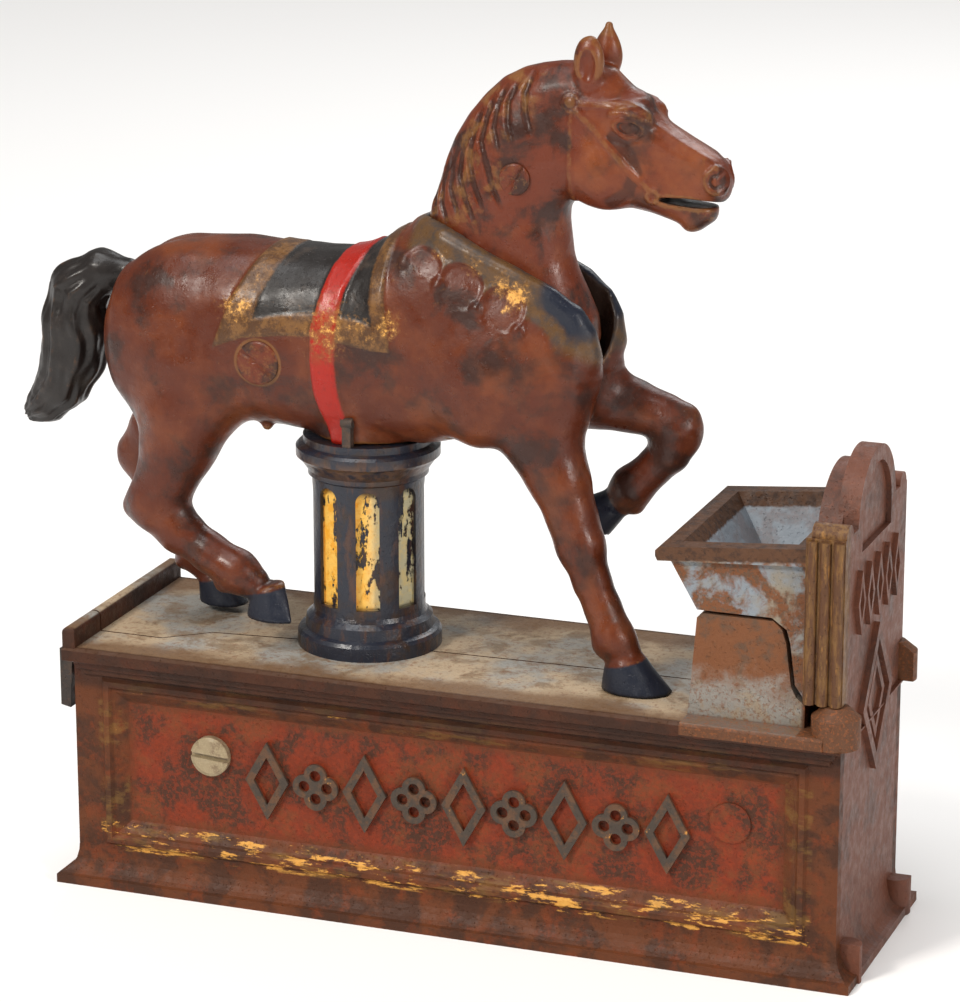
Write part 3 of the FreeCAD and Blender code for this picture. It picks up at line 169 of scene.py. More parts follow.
def gridSurface(field, low, high, step):
    low, high = np.array(low, np.float32), np.array(high, np.float32)
    coarse = 4
    cells = np.ceil((high - low) / (step * coarse)).astype(int) * coarse
    axes = [low[k] + step * np.arange(cells[k] + 1, dtype=np.float32) for k in range(3)]
    rough = [axis[::coarse] for axis in axes]
    roughPoints = np.stack(np.meshgrid(*rough, indexing="ij"), -1).reshape(-1, 3)
    values = field(roughPoints).reshape([len(r) for r in rough])
    for k in range(3):  # straight-line filling between the rough samples
        parts = [np.take(values, range(0, values.shape[k] - 1), k)] * coarse
        ahead = np.take(values, range(1, values.shape[k]), k)
        mixed = [parts[i] * (1 - i / coarse) + ahead * (i / coarse) for i in range(coarse)]
        stacked = np.stack(mixed, k + 1)
        shape = list(values.shape)
        shape[k] = (shape[k] - 1) * coarse
        last = np.take(values, [-1], k)
        values = np.concatenate([stacked.reshape(shape), last], k)
    near = np.abs(values) < step * coarse * 1.6
    where = np.nonzero(near)
    exact = np.stack([axes[k][where[k]] for k in range(3)], -1)
    values[where] = field(exact)
    inside = values < 0
    mixedCell = np.zeros([n - 1 for n in inside.shape], np.int8)
    for i in (0, 1):
        for j in (0, 1):
            for k in (0, 1):
                sx, sy, sz = inside.shape
                mixedCell += inside[i:sx - 1 + i, j:sy - 1 + j, k:sz - 1 + k]
    used = (mixedCell > 0) & (mixedCell < 8)
    number = np.full(used.shape, -1, np.int32)
    number[used] = np.arange(int(used.sum()), dtype=np.int32)
    spots = np.stack(np.nonzero(used), -1).astype(np.float32)
    verts = low + (spots + 0.5) * step
    quads = []
    for k in range(3):
        a, b = (k + 1) % 3, (k + 2) % 3
        lower = np.take(inside, range(0, inside.shape[k] - 1), k)
        upper = np.take(inside, range(1, inside.shape[k]), k)
        for sign in (0, 1):
            change = (lower & ~upper) if sign == 0 else (~lower & upper)
            spot = np.stack(np.nonzero(change), -1)
            ok = (spot[:, a] > 0) & (spot[:, b] > 0)
            ok &= (spot[:, a] < used.shape[a]) & (spot[:, b] < used.shape[b])
            spot = spot[ok]
            ring = []
            for da, db in ((1, 1), (0, 1), (0, 0), (1, 0)):
                cell = spot.copy()
                cell[:, a] -= da
                cell[:, b] -= db
                ring.append(number[cell[:, 0], cell[:, 1], cell[:, 2]])
            face = np.stack(ring, -1)
            quads.append(face if sign == 0 else face[:, ::-1])
    return verts, np.concatenate(quads)


def slopeOf(field, points, reach=0.08):
    slope = np.empty_like(points)
    for k in range(3):
        shift = np.zeros(3, np.float32)
        shift[k] = reach
        slope[:, k] = (field(points + shift) - field(points - shift)) / (2 * reach)
    return slope


def settle(field, points, rounds=3, limit=0.5):
    for _ in range(rounds):
        slope = slopeOf(field, points)
        move = field(points)[:, None] * slope / np.maximum((slope ** 2).sum(1), 0.2)[:, None]
        size = np.linalg.norm(move, axis=1)[:, None]
        points = points - move * np.minimum(1.0, limit / np.maximum(size, 1e-6))
    return points


def relax(points, quads, amount=0.5):
    total = np.zeros_like(points)
    count = np.zeros(len(points), np.float32)
    for i in range(4):
        here, there = quads[:, i], quads[:, (i + 1) % 4]
        for a, b in ((here, there), (there, here)):
            for k in range(3):
                total[:, k] += np.bincount(a, points[b, k], len(points))
            count += np.bincount(a, minlength=len(points))
    return points + amount * (total / np.maximum(count, 1)[:, None] - points)


def sculpt(field, low, high, step, limit):
    verts, quads = gridSurface(field, low, high, step)
    verts = settle(field, verts.astype(np.float32), 2, step)
    for _ in range(3):
        verts = settle(field, relax(verts, quads), 1, step)
    verts = settle(field, verts, 1, step)
    assert len(quads) < limit, len(quads)
    slope = slopeOf(field, verts, 0.25)
    normals = slope / np.maximum(np.linalg.norm(slope, axis=1), 1e-6)[:, None]
    reach = 1.3
    bend = -6 * field(verts)
    for k in range(3):
        for side in (-reach, reach):
            shift = np.zeros(3, np.float32)
            shift[k] = side
            bend = bend + field(verts + shift)
    return verts, quads, normals, np.clip(bend / reach ** 2, -1.5, 1.5)


def makeObject(name, verts, faces, masks=None, smooth=True):
    mesh = bpy.data.meshes.new(name)
    corners = (np.asarray(verts, float) * mm).tolist()
    mesh.from_pydata(corners, [], faces if isinstance(faces, list) else faces.tolist())
    mesh.update()
    for label, values in (masks or {}).items():
        layer = mesh.attributes.new(label, "FLOAT", "POINT")
        layer.data.foreach_set("value", np.asarray(values, np.float32))
    mesh.polygons.foreach_set("use_smooth", [smooth] * len(mesh.polygons))
    piece = bpy.data.objects.new(name, mesh)
    bpy.context.collection.objects.link(piece)
    return piece


def smoothNoise(points, size, seed):
    rng = np.random.default_rng(seed)
    total = np.zeros(len(points), np.float32)
    for _ in range(10):
        wave = rng.normal(size=3).astype(np.float32)
        wave *= 2 * math.pi / size / np.linalg.norm(wave) * float(rng.uniform(0.6, 1.4))
        total += np.sin(points @ wave + float(rng.uniform(0, 6.28)))
    return total / 3.2


headShape = {
    "step": 0.42,
    "outline": [
        (-12.0, 153.6), (-11.2, 156.6), (-9.6, 161.4), (-8.0, 166.4), (-6.1, 171.2), (-2.9, 176.6), (0.8, 180.8),
        (4.9, 184.6), (9.5, 187.0), (13.6, 188.2), (17.6, 188.8), (21.5, 188.9), (26.0, 188.8), (29.4, 187.8),
        (31.2, 186.0), (33.4, 184.0), (35.6, 183.1), (37.2, 181.9), (38.2, 179.9), (39.9, 178.1), (42.4, 176.2),
        (46.0, 173.9), (50.0, 171.8), (52.3, 170.6), (53.8, 169.2), (54.8, 166.8), (55.0, 164.2), (54.5, 162.2),
        (53.2, 161.0), (51.8, 160.6), (52.3, 159.2), (51.8, 157.2), (48.5, 154.7), (46.7, 154.2), (45.2, 154.6),
        (44.0, 156.0), (41.8, 156.8), (38.2, 157.8), (33.7, 158.7), (28.4, 158.3), (25.5, 158.9), (22.6, 159.6),
        (20.4, 159.1), (19.4, 157.4), (19.3, 155.0), (19.7, 151.7), (20.2, 147.3), (21.4, 143.7), (23.6, 139.0),
        (25.6, 134.0), (26.0, 129.0), (24.0, 123.6), (17.0, 120.4), (9.6, 123.6), (4.0, 131.0), (-3.4, 139.6),
        (-9.4, 146.6),
    ],
    # x, z, half width, rounding of the edge
    "widths": [
        (-10, 150, 7.0, 9), (-6, 158, 7.4, 10), (-5, 168, 6.6, 9), (0, 177, 6.0, 8), (9, 184, 6.0, 8),
        (5, 146, 8.7, 12), (14, 150, 8.7, 10), (19, 150, 7.6, 8), (8, 160, 8.6, 12), (16, 158, 8.2, 10),
        (10, 172, 7.8, 11), (18, 185, 6.2, 7), (18, 166, 7.8, 11), (17, 130, 8.7, 5), (2, 138, 8.7, 6),
        (24, 176, 7.6, 10), (28, 166, 7.6, 7.5), (33, 180, 6.9, 7), (34, 175, 6.8, 8), (30, 161, 6.6, 5),
        (37, 161, 5.2, 5), (42, 171, 5.2, 6), (43, 176, 4.4, 5), (48, 168, 5.0, 5.5), (53, 166, 4.9, 5),
        (40, 164, 5.4, 6), (46, 157, 3.6, 3.4), (51, 158, 3.4, 3), (27, 186, 5.6, 6), (38, 181, 4.6, 5),
    ],
    "pivot": (17.0, 129.0), "mouthCorner": (41.0, 161.1), "halfLimit": 9.2, "quadLimit": 99000,
    "mouthBack": 40.4, "mouthLength": 13,
}
ears = [  # bulb, root and tip of the point, hollow
    (((25.1, -4.9, 189.4), (3.35, 2.1, 5.6)), (25.0, -4.7, 190, 2.0), (25.7, -4.6, 194.0, 0.7),
     ((25.3, -7.3, 188.8), (1.9, 1.7, 4.0))),
    (((26.0, 4.7, 189.6), (3.1, 2.1, 5.2)), (26.0, 4.6, 190, 2.3), (26.3, 4.5, 195.9, 0.75),
     ((27.0, 7.2, 189.6), (1.5, 1.6, 3.8))),
]


def buildProfile(shape, step=0.5, blur=2):
    outline = np.array(shape["outline"], np.float32)
    low, high = outline.min(0) - 12, outline.max(0) + 12
    xs, zs = np.arange(low[0], high[0], step), np.arange(low[1], high[1], step)
    gx, gz = np.meshgrid(xs, zs, indexing="ij")
    flat = np.stack([gx.ravel(), gz.ravel()], -1).astype(np.float32)
    depth = areaDistance(flat, [tuple(p) for p in outline.tolist()]).reshape(gx.shape)
    for _ in range(blur):
        for k in (0, 1):
            depth = 0.25 * np.roll(depth, 1, k) + 0.5 * depth + 0.25 * np.roll(depth, -1, k)
    table = np.array(shape["widths"], np.float32)
    weight = 1.0 / (((flat[:, None, :] - table[None, :, :2]) ** 2).sum(-1) + 9.0) ** 1.6
    weight /= weight.sum(1, keepdims=True)
    half = (weight @ table[:, 2]).reshape(gx.shape)
    edge = (weight @ table[:, 3]).reshape(gx.shape)
    return {"low": low, "step": step, "depth": depth, "half": half, "edge": edge}


def sample(grid, low, step, x, z):
    u = np.clip((x - low[0]) / step, 0, grid.shape[0] - 1.001)
    v = np.clip((z - low[1]) / step, 0, grid.shape[1] - 1.001)
    i, j = u.astype(int), v.astype(int)
    u, v = u - i, v - j
    return (grid[i, j] * (1 - u) * (1 - v) + grid[i + 1, j] * u * (1 - v)
            + grid[i, j + 1] * (1 - u) * v + grid[i + 1, j + 1] * u * v)


headProfile = buildProfile(headShape)


def profileField(points, profile):
    x, y, z = points[:, 0], points[:, 1], points[:, 2]
    depth = sample(profile["depth"], profile["low"], profile["step"], x, z)
    half = sample(profile["half"], profile["low"], profile["step"], x, z)
    edge = sample(profile["edge"], profile["low"], profile["step"], x, z)
    over = np.maximum(depth + edge, 0.0)
    return np.sqrt(over ** 2 + (y * edge / half) ** 2 + 1e-6) - edge


def neckCore(points):
    return profileField(points, headProfile)


def headField(points):
    whole = neckCore(points)
    x, y, z = points[:, 0], points[:, 1], points[:, 2]
    sided = np.stack([x, np.abs(y), z], -1)
    whole = smoothMin(whole, egg(sided, (28.2, 3.4, 167.2), (8.6, 4.6, 8.4)), 2.4)  # cheek plate
    whole = smoothMin(whole, egg(sided, (34.4, 4.9, 178.6), (4.6, 2.5, 2.8)), 2.2)  # brow
    whole = smoothMin(whole, taper(sided, (37, 3.4, 175.2, 2.2), (49, 3.0, 169.4, 1.6)), 2.6)  # nose bone
    whole = smoothMin(whole, egg(sided, (52.8, 3.3, 166.2), (2.7, 1.9, 2.9)), 1.4)  # nostril swelling
    for bulb, root, tip, hollow in ears:
        ear = smoothMin(egg(points, *bulb), taper(points, root, tip), 1.2)
        whole = smoothMin(whole, smoothMax(ear, -egg(points, *hollow), 0.5), 1.4)
    back, length = headShape["mouthBack"], headShape["mouthLength"]
    into = np.clip(x - back, 0, length)
    gape = 0.30 + 0.62 * np.sin(into / length * math.pi) ** 0.8
    mouth = np.maximum(np.abs(z - (161.75 - 0.082 * into)) - gape, back - x)
    return smoothMax(whole, -mouth, 0.5)


def ridge(distance, half, height):
    return height * (1 - ramp(distance, half * 0.45, half))


bridle = {
    "browBand": [(21.9, 181.4), (25.1, 181.0), (29.1, 181.1), (33.5, 181.2), (37.4, 181.6)],
    "cheekStrap": [(22.4, 180.2), (26.0, 177.0), (29.1, 173.8), (32.7, 170.0), (35.9, 166.3), (39.0, 163.4)],
    "throatStrap": [(22.1, 179.4), (22.0, 173.0), (21.9, 166.5), (21.7, 160.2)],
    "noseLine": [(38.6, 178.2), (43.4, 174.8), (48.4, 172.0), (52.2, 169.4)],
    "jawLine": [(30.6, 160.4), (34.3, 163.0), (36.0, 167.4), (34.6, 171.4), (31.0, 174.6)],
    "browLine": [(30.6, 179.4), (33.4, 180.2), (37.6, 178.6)],
    "underEye": [(30.2, 174.2), (33.6, 173.4), (37.0, 174.6)],
    "rosette": (21.7, 181.2), "bit": (39.4, 162.4), "eye": (34.4, 176.6), "nostril": (52.9, 166.3),
}
maneLines = [
    [(9.4, 184.6), (7.6, 180.4), (7.9, 176.2), (9.6, 171.6)],
    [(6.8, 183.4), (5.0, 179.2), (4.6, 174.6), (6.4, 169.8)],
    [(4.2, 181.0), (2.6, 176.6), (1.8, 171.6), (3.4, 166.4), (5.2, 161.2)],
    [(1.4, 178.2), (-0.4, 173.0), (-1.0, 167.6), (0.6, 162.2), (3.0, 157.0)],
    [(-1.0, 174.6), (-2.8, 169.4), (-3.2, 164.2), (-1.4, 158.8), (0.8, 154.2)],
    [(-3.6, 171.4), (-5.2, 166.2), (-5.2, 160.8), (-3.2, 155.2)],
    [(-6.0, 167.6), (-7.6, 162.2), (-7.4, 157.2), (-5.8, 153.6)],
    [(12.6, 186.4), (11.2, 182.4), (11.8, 178.2), (13.2, 174.4)],
    [(3.2, 168.6), (4.4, 163.6), (7.0, 158.4)],
    [(-8.8, 163.4), (-9.8, 158.4), (-9.0, 154.4)],
]


def headRelief(points, normals):
    flat = points[:, [0, 2]]
    side = ramp(np.abs(normals[:, 1]), 0.12, 0.5)
    rise = np.zeros(len(points), np.float32)
    for name, half, height in (("browBand", 1.1, 0.42), ("cheekStrap", 1.0, 0.38), ("throatStrap", 0.95, 0.34)):
        rise = np.maximum(rise, ridge(lineDistance(flat, bridle[name]), half, height))
    rise = np.maximum(rise, ridge(lineDistance(flat, bridle["noseLine"]), 0.9, 0.25))
    knob = np.linalg.norm(flat - np.array(bridle["rosette"], np.float32), axis=1)
    rise = np.maximum(rise, 0.75 * np.sqrt(np.clip(1 - (knob / 2.2) ** 2, 0, 1)))
    rise -= ridge(np.abs(knob - 1.35), 0.4, 0.3)
    ring = np.linalg.norm(flat - np.array(bridle["bit"], np.float32), axis=1)
    rise = np.maximum(rise, ridge(np.abs(ring - 1.2), 0.7, 0.5))
    ex, ez = flat[:, 0] - bridle["eye"][0], flat[:, 1] - bridle["eye"][1]
    ez = ez + 0.12 * ex
    almond = np.sqrt((ex / 2.5) ** 2 + (ez / 1.45) ** 2)
    ball = np.sqrt(ex ** 2 + ez ** 2)
    rise += 0.35 * (1 - ramp(np.abs(almond - 1.2), 0.12, 0.34))  # lids
    rise -= 0.45 * (1 - ramp(np.abs(almond - 0.92), 0.05, 0.22))
    rise += 0.35 * np.sqrt(np.clip(1 - (ball / 1.45) ** 2, 0, 1))
    rise += ridge(lineDistance(flat, bridle["browLine"]), 0.9, 0.35)
    rise -= ridge(lineDistance(flat, bridle["underEye"]), 0.8, 0.16)
    nx, nz = flat[:, 0] - bridle["nostril"][0], flat[:, 1] - bridle["nostril"][1]
    hole = np.sqrt((nx / 1.0) ** 2 + (nz / 1.15) ** 2)
    rise += ridge(np.abs(hole - 2.1), 0.75, 0.4)
    rise -= ridge(np.abs(hole - 1.25), 0.55, 0.5)
    strands = np.zeros(len(points), np.float32)
    for line in maneLines:
        gap = lineDistance(flat, line)
        tail = ramp(np.minimum(np.linalg.norm(flat - np.array(line[0]), axis=1),
                               np.linalg.norm(flat - np.array(line[-1]), axis=1)), 0.0, 3.0)
        strands = np.minimum(strands, -ridge(gap, 0.85, 0.5) * (0.25 + 0.75 * tail))
        strands = strands + ridge(np.abs(gap - 1.15), 0.6, 0.16) * tail
    rise += strands * ramp(flat[:, 1], 150, 154)
    rise += ridge(lineDistance(flat, bridle["jawLine"]), 2.0, -0.22)
    return rise * side


print("sculpting the head")
verts, quads, normals, bend = sculpt(headField, (-14, -10.6, 117), (58, 10.6, 199), headShape["step"],
                                     headShape["quadLimit"])
relief = headRelief(verts, normals)
flat = verts[:, [0, 2]]
bodyOnly = ramp(verts[:, 2], 146, 150)
verts = verts + normals * (relief + 0.05 * smoothNoise(verts, 5.0, 3) * bodyOnly)[:, None]
verts[:, 1] = np.clip(verts[:, 1], -headShape["halfLimit"], headShape["halfLimit"])
mouthX, mouthZ = headShape["mouthCorner"]
mouthLine = np.abs(flat[:, 1] - mouthZ) + np.maximum(mouthX - flat[:, 0], 0) * 2
onLips = (1 - ramp(np.abs(normals[:, 1]), 0.2, 0.75)) * (flat[:, 0] > 39.5)
eyeX, eyeZ = bridle["eye"]
headMasks = {
    "raised": relief, "bend": bend,
    # painted shade: black on the walls and edges of the mouth slit
    "mouthSlitShade": ramp(2.4 - mouthLine, 0.9, 1.7) * onLips,
    "eyeMark": 1 - ramp(np.hypot(flat[:, 0] - eyeX, flat[:, 1] - eyeZ), 1.1, 1.7),
    "maneMark": ramp(flat[:, 1], 150, 156) * (1 - ramp(flat[:, 0] - 0.35 * (flat[:, 1] - 160), 4.0, 9.0)),
}
head = makeObject("neckAndHead", verts, quads, headMasks)
print("head", len(quads))


barrel = {
    "x": [-84, -80, -74, -68, -61, -54, -45, -36, -30, -26, -22.7, -17, -12, -6, -1, 6, 12.7, 19.5, 24, 30],
    "top": [133, 139, 142.8, 144.5, 145.5, 145.7, 144.9, 144.8, 145.0, 145.8, 147.6, 151.2, 153.4, 154.2, 152.6,
            149.6, 146.8, 143.6, 139, 132],
    "bottom": [118, 112, 107, 105, 104.6, 104.8, 104.6, 103.6, 103.5, 103.4, 103.3, 103.3, 103.3, 104.6, 106.2,
               107.0, 107.6, 110.5, 114, 121],
    "middle": [125, 125, 125, 125, 125, 124.6, 124.4, 124.2, 124, 124, 124, 124.4, 125, 126, 126, 126, 125.6,
               125, 125, 125],
    "half": [7, 10, 13.3, 15.0, 16.1, 16.5, 16.4, 16.3, 16.2, 16.3, 16.4, 16.5, 16.6, 16.6, 16.5, 16.2, 15.6,
             13.8, 11.5, 7],
}
barrelTables = {k: softTable(barrel["x"], barrel[k], 5.0) for k in ("top", "bottom", "middle", "half")}

legs = {
    "nearFore": [(14, -6.5, 119, 8.8), (16.8, -8.0, 108, 7.8), (20.6, -9.0, 100, 6.1), (23.8, -9.8, 92.4, 4.9),
                 (26, -10.3, 86, 4.7), (28.6, -10.8, 79, 3.5), (31.4, -11.1, 73, 3.4), (34.0, -11.5, 67, 4.1),
                 (36.6, -11.8, 63.4, 3.5)],
    "farFore": [(17, 6.0, 117, 8.4), (24, 8.0, 114.8, 6.6), (31, 9.0, 113.0, 5.2), (37.5, 9.0, 111.4, 4.4),
                (41.2, 9.0, 108.8, 4.7), (39.4, 9.0, 103.4, 3.8), (35.2, 9.0, 98.9, 3.4), (30.9, 9.0, 94.8, 4.1),
                (28.0, 9.0, 91.6, 3.3)],
    "nearHind": [(-64, -6.5, 117, 11.0), (-66.4, -8.0, 107, 9.8), (-68.8, -8.5, 99, 8.0), (-71.6, -9.0, 91.4, 6.2),
                 (-74.0, -9.2, 85.4, 5.8), (-68.4, -9.4, 79.8, 4.5), (-61.0, -9.7, 75.4, 3.9),
                 (-54.6, -10.0, 72.0, 4.3), (-50.4, -10.1, 69.6, 3.6)],
    "farHind": [(-68, 6.5, 116, 10.0), (-75, 8.0, 106, 8.2), (-81.6, 8.5, 97.4, 6.0), (-85.8, 8.8, 91, 4.9),
                (-82.2, 9.0, 84, 4.2), (-77.4, 9.0, 76, 3.6), (-73.0, 9.0, 69.2, 4.0), (-70.6, 9.0, 65.6, 3.3)],
}
joints = {  # the knobs of knees, hocks and fetlocks
    "nearHind": [((-79.4, -9.2, 84.4, 2.7), (-73, -9.2, 92, 4.2)),
                 ((-57.8, -9.9, 68.8, 2.0), (-55.0, -10, 71, 3.2))],
    "nearFore": [((31.9, -11.5, 65.0, 1.9), (33.8, -11.5, 67, 2.8)),
                 ((27.4, -10.3, 87.2, 2.6), (26.0, -10.3, 84, 3.4))],
    "farHind": [((-89.0, 9, 92.4, 2.2), (-84.5, 9, 95, 3.4)), ((-76.4, 9, 66.6, 1.8), (-73.4, 9, 68.6, 2.8))],
    "farFore": [((43.0, 9, 111.6, 2.4), (42.4, 9, 106.4, 3.2)), ((31.6, 9, 90.6, 1.7), (31.2, 9, 93.6, 2.6))],
}
hooves = {  # sole centre, half length and half width, then the same at the top
    "nearFore": ((39.4, -12.0, 56.15, 7.9, 5.6), (36.7, -11.9, 63.6, 4.1, 3.9)),
    "nearHind": ((-44.8, -10.2, 62.5, 7.0, 5.2), (-46.7, -10.1, 70.2, 3.7, 3.5)),
    "farHind": ((-66.2, 9.0, 57.9, 5.8, 4.7), (-68.8, 9.0, 64.8, 3.5, 3.4)),
}
farForeHoof = ((28.2, 9.0, 91.6, 3.2), (22.6, 9.0, 87.2, 5.0))
collarRim = [(-13, 0, 151.2), (-10.5, -5.0, 152.0), (-5.6, -9.2, 150.9), (0.5, -10.9, 148.6), (6, -11.2, 146.3),
             (12.7, -11.3, 143.4), (19.3, -10.9, 140.2), (23.8, -9.9, 136.6), (26.4, -9.0, 132.4),
             (27.0, -8.6, 127.6)]


inner = {  # seat on the column, and the room inside for the arm and the rod
    "seatRadius": 11.6, "seatHeight": 106.4, "columnRoom": 19.0, "bellyHeight": 104.2, "wall": 3.4,
    "hollowTop": 146.0, "armReach": 31.0, "armRoom": 9.4, "armTop": 147.5, "armFront": 12.0, "rodRoom": 5.6,
    "rodTop": 125,
}


def barrelField(points):
    x = np.clip(points[:, 0], -80, 23)
    top, bottom, middle, half = (np.interp(x, *barrelTables[k]) for k in ("top", "bottom", "middle", "half"))
    z = points[:, 2] - middle
    high = np.where(z > 0, top - middle, middle - bottom)
    ratio = ((np.abs(points[:, 1]) / half) ** 2.35 + (np.abs(z) / high) ** 2.35) ** (1 / 2.35)
    length = np.sqrt(points[:, 1] ** 2 + z ** 2)
    inner = np.where(ratio < 0.05, -np.minimum(half, high), length - length / np.maximum(ratio, 0.05))
    beyond = np.abs(points[:, 0] - x)
    return smoothMax(inner, beyond - 1.0, 2.0).astype(np.float32)


def hoofField(points, sole, top):
    t = np.clip((points[:, 2] - sole[2]) / (top[2] - sole[2]), -0.2, 1.15)
    x, y, length, width = (sole[k] + (top[k] - sole[k]) * t for k in (0, 1, 3, 4))
    dx, dy = points[:, 0] - x, points[:, 1] - y
    ratio = np.sqrt((dx / length) ** 2 + (dy / width) ** 2)
    reach = np.hypot(dx, dy)
    side = np.where(ratio < 0.05, -width, reach - reach / np.maximum(ratio, 0.05)) * 0.93
    tilt = points[:, 2] - top[2] - 0.25 * (points[:, 0] - top[0])
    return smoothMax(smoothMax(side, tilt, 1.6), sole[2] - points[:, 2], 0.5)


def raisedHoofField(points):
    top, sole = farForeHoof
    axis = np.array(sole[:3], np.float32) - np.array(top[:3], np.float32)
    axis /= np.linalg.norm(axis)
    return smoothMax(taper(points, top, sole, 1.1), (points - np.array(sole[:3], np.float32)) @ axis, 0.5)


def legField(points, name):
    leg = chain(points, legs[name], 3.2, 1.06)
    for start, end in joints[name]:
        leg = smoothMin(leg, taper(points, start, end), 1.8)
    return leg


def bodyCore(points):
    sided = np.stack([points[:, 0], np.abs(points[:, 1]), points[:, 2]], -1)
    whole = barrelField(points)
    whole = smoothMin(whole, egg(sided, (-70.3, 5.6, 121.8), (16.8, 9.4, 20.4)), 5.0)  # haunch
    whole = smoothMin(whole, egg(sided, (13.6, 6.6, 123.6), (15.2, 9.2, 15.2)), 4.5)  # breast
    whole = smoothMin(whole, egg(sided, (3.0, 9.4, 119.5), (9.4, 7.9, 13.5)), 5.0)  # shoulder

    def rimField(some):
        rim = None
        for start, end in zip(collarRim[:-1], collarRim[1:]):
            part = taper(some, (start[0], -start[1], start[2], 1.7), (end[0], -end[1], end[2], 1.7))
            rim = part if rim is None else np.minimum(rim, part)
        return rim
    return smoothMin(whole, nearBox(sided, (-15, 0, 125), (29, 13, 155), rimField), 3.4)


def neckSweep(points):
    px, pz = headShape["pivot"]

    def swept(some):
        best = None
        for turn in np.linspace(0, 50, 9):
            cosine, sine = math.cos(math.radians(turn)), math.sin(math.radians(turn))
            x, z = some[:, 0] - px, some[:, 2] - pz
            back = np.stack([px + x * cosine - z * sine, some[:, 1], pz + x * sine + z * cosine], -1)
            here = neckCore(back)
            best = here if best is None else np.minimum(best, here)
        return best
    return nearBox(points, (-16, -11, 112), (60, 11, 160), swept)


def bodyField(points):
    whole = bodyCore(points)
    sides = {"nearFore": 5.0, "farFore": 4.0, "nearHind": 5.0, "farHind": 5.0}
    for name, join in sides.items():
        stations = np.array(legs[name], np.float32)

        def limb(some, name=name):
            reach = legField(some, name)
            foot = hoofField(some, *hooves[name]) if name in hooves else raisedHoofField(some)
            return smoothMin(reach, foot, 0.9)
        low = (stations[:, :3] - stations[:, 3:]).min(0) - np.array([4, 2, 9], np.float32)
        high = (stations[:, :3] + stations[:, 3:]).max(0) + np.array([10, 2, 0], np.float32)
        whole = smoothMin(whole, nearBox(points, low, high, limb), join)
    whole = smoothMin(whole, taper(points, (-49.2, -4.5, 106.0, 1.5), (-48.8, -5.0, 104.8, 1.1)), 1.2)
    x, y, z = points[:, 0], points[:, 1], points[:, 2]
    radial = np.hypot(x + 26.6, y)
    seat = np.maximum(radial - inner["seatRadius"], np.abs(z - inner["seatHeight"]) - 2.0) - 0.3
    whole = smoothMin(whole, seat, 2.0)
    aroundColumn = np.maximum(radial - inner["columnRoom"], z - inner["bellyHeight"])
    whole = smoothMax(whole, -aroundColumn, 0.6)
    room = neckSweep(points)
    hollow = np.maximum(barrelField(points) + inner["wall"], z - inner["hollowTop"])
    px, pz = headShape["pivot"]
    radius = np.hypot(x - px, z - pz)
    swing = np.maximum(radius - inner["armReach"], np.abs(y) - inner["armRoom"])
    swing = np.maximum(swing, z - inner["armTop"])
    swing = np.maximum(swing, x - inner["armFront"])
    rod = np.maximum(np.hypot(x + 27.0, y) - inner["rodRoom"], z - inner["rodTop"])
    return np.maximum(np.maximum(np.maximum(whole, 0.5 - room), np.maximum(-hollow, -swing)), -rod)


tack = {
    "cloth": [(-43.6, 152), (-45.3, 148.4), (-48.6, 142.8), (-51.9, 136.6), (-54.4, 130.3), (-56.6, 124.4),
              (-49.6, 127.0), (-40.9, 128.1), (-33.8, 128.6), (-27.2, 127.7), (-20.2, 126.8), (-15.3, 126.7),
              (-15.8, 131.0), (-16.9, 137.0), (-17.4, 142.8), (-17.0, 150), (-16.0, 156)],
    "pad": [(-38.4, 152), (-40.6, 147.7), (-43.4, 141.9), (-45.9, 136.5), (-47.2, 131.2), (-40.8, 132.6),
            (-34.5, 133.4), (-27.1, 133.3), (-21.6, 132.6), (-19.4, 131.6), (-20.4, 137.2), (-20.6, 143.0),
            (-19.6, 150), (-19, 156)],
    "girth": [(-27.6, 152), (-28.9, 148.2), (-31.0, 142.2), (-32.5, 135.4), (-33.6, 129.8), (-33.7, 123.4),
              (-33.2, 115.9), (-31.8, 109.3), (-30.8, 104), (-30.4, 98), (-25.6, 98), (-26.2, 104), (-26.6, 109.8),
              (-27.7, 116.4), (-28.2, 123.9), (-27.7, 131.4), (-26.8, 138.1), (-25.2, 142.6), (-22.4, 148.9),
              (-21.6, 152)],
    "rimLine": [(-13, 155), (-8.5, 153.3), (-1.6, 150.6), (5.3, 147.5), (12.1, 144.7), (18.9, 142.0),
                (23.4, 139.0), (26.1, 135.6), (27.6, 130.6)],
    "lobes": [(-9.2, 144.2, 4.9), (-0.2, 141.6, 5.2), (9.4, 137.6, 5.1)],
    "studs": [(-13.5, 145.9), (-5.0, 142.0), (3.9, 137.6), (13.4, 133.8)],
    "rivet": (-46.0, 121.7),
    # x, z, size and amount of the gold spots: worn gilt on the collar, cloth and girth; the three on the barrel side
    # near x -16 to -23 at about 130 mm height are a painted highlight
    "giltAndHighlightSpots": [(12.4, 140.8, 3.2, 1.0), (9.2, 142.6, 3.0, 0.8), (10.2, 137.8, 1.5, 0.8),
                  (-15.8, 132.6, 3.6, 0.7), (-19.6, 129.8, 2.8, 0.5), (-50.6, 133.6, 4.6, 0.75),
                  (-47.0, 140.6, 3.0, 0.5), (-22.8, 131.4, 3.6, 0.6), (-29.6, 130.8, 6.4, 0.66),
                  (2.6, 146.0, 2.6, 0.6), (-5.4, 147.8, 2.4, 0.5), (-36, 130.6, 5.0, 0.35)],
}


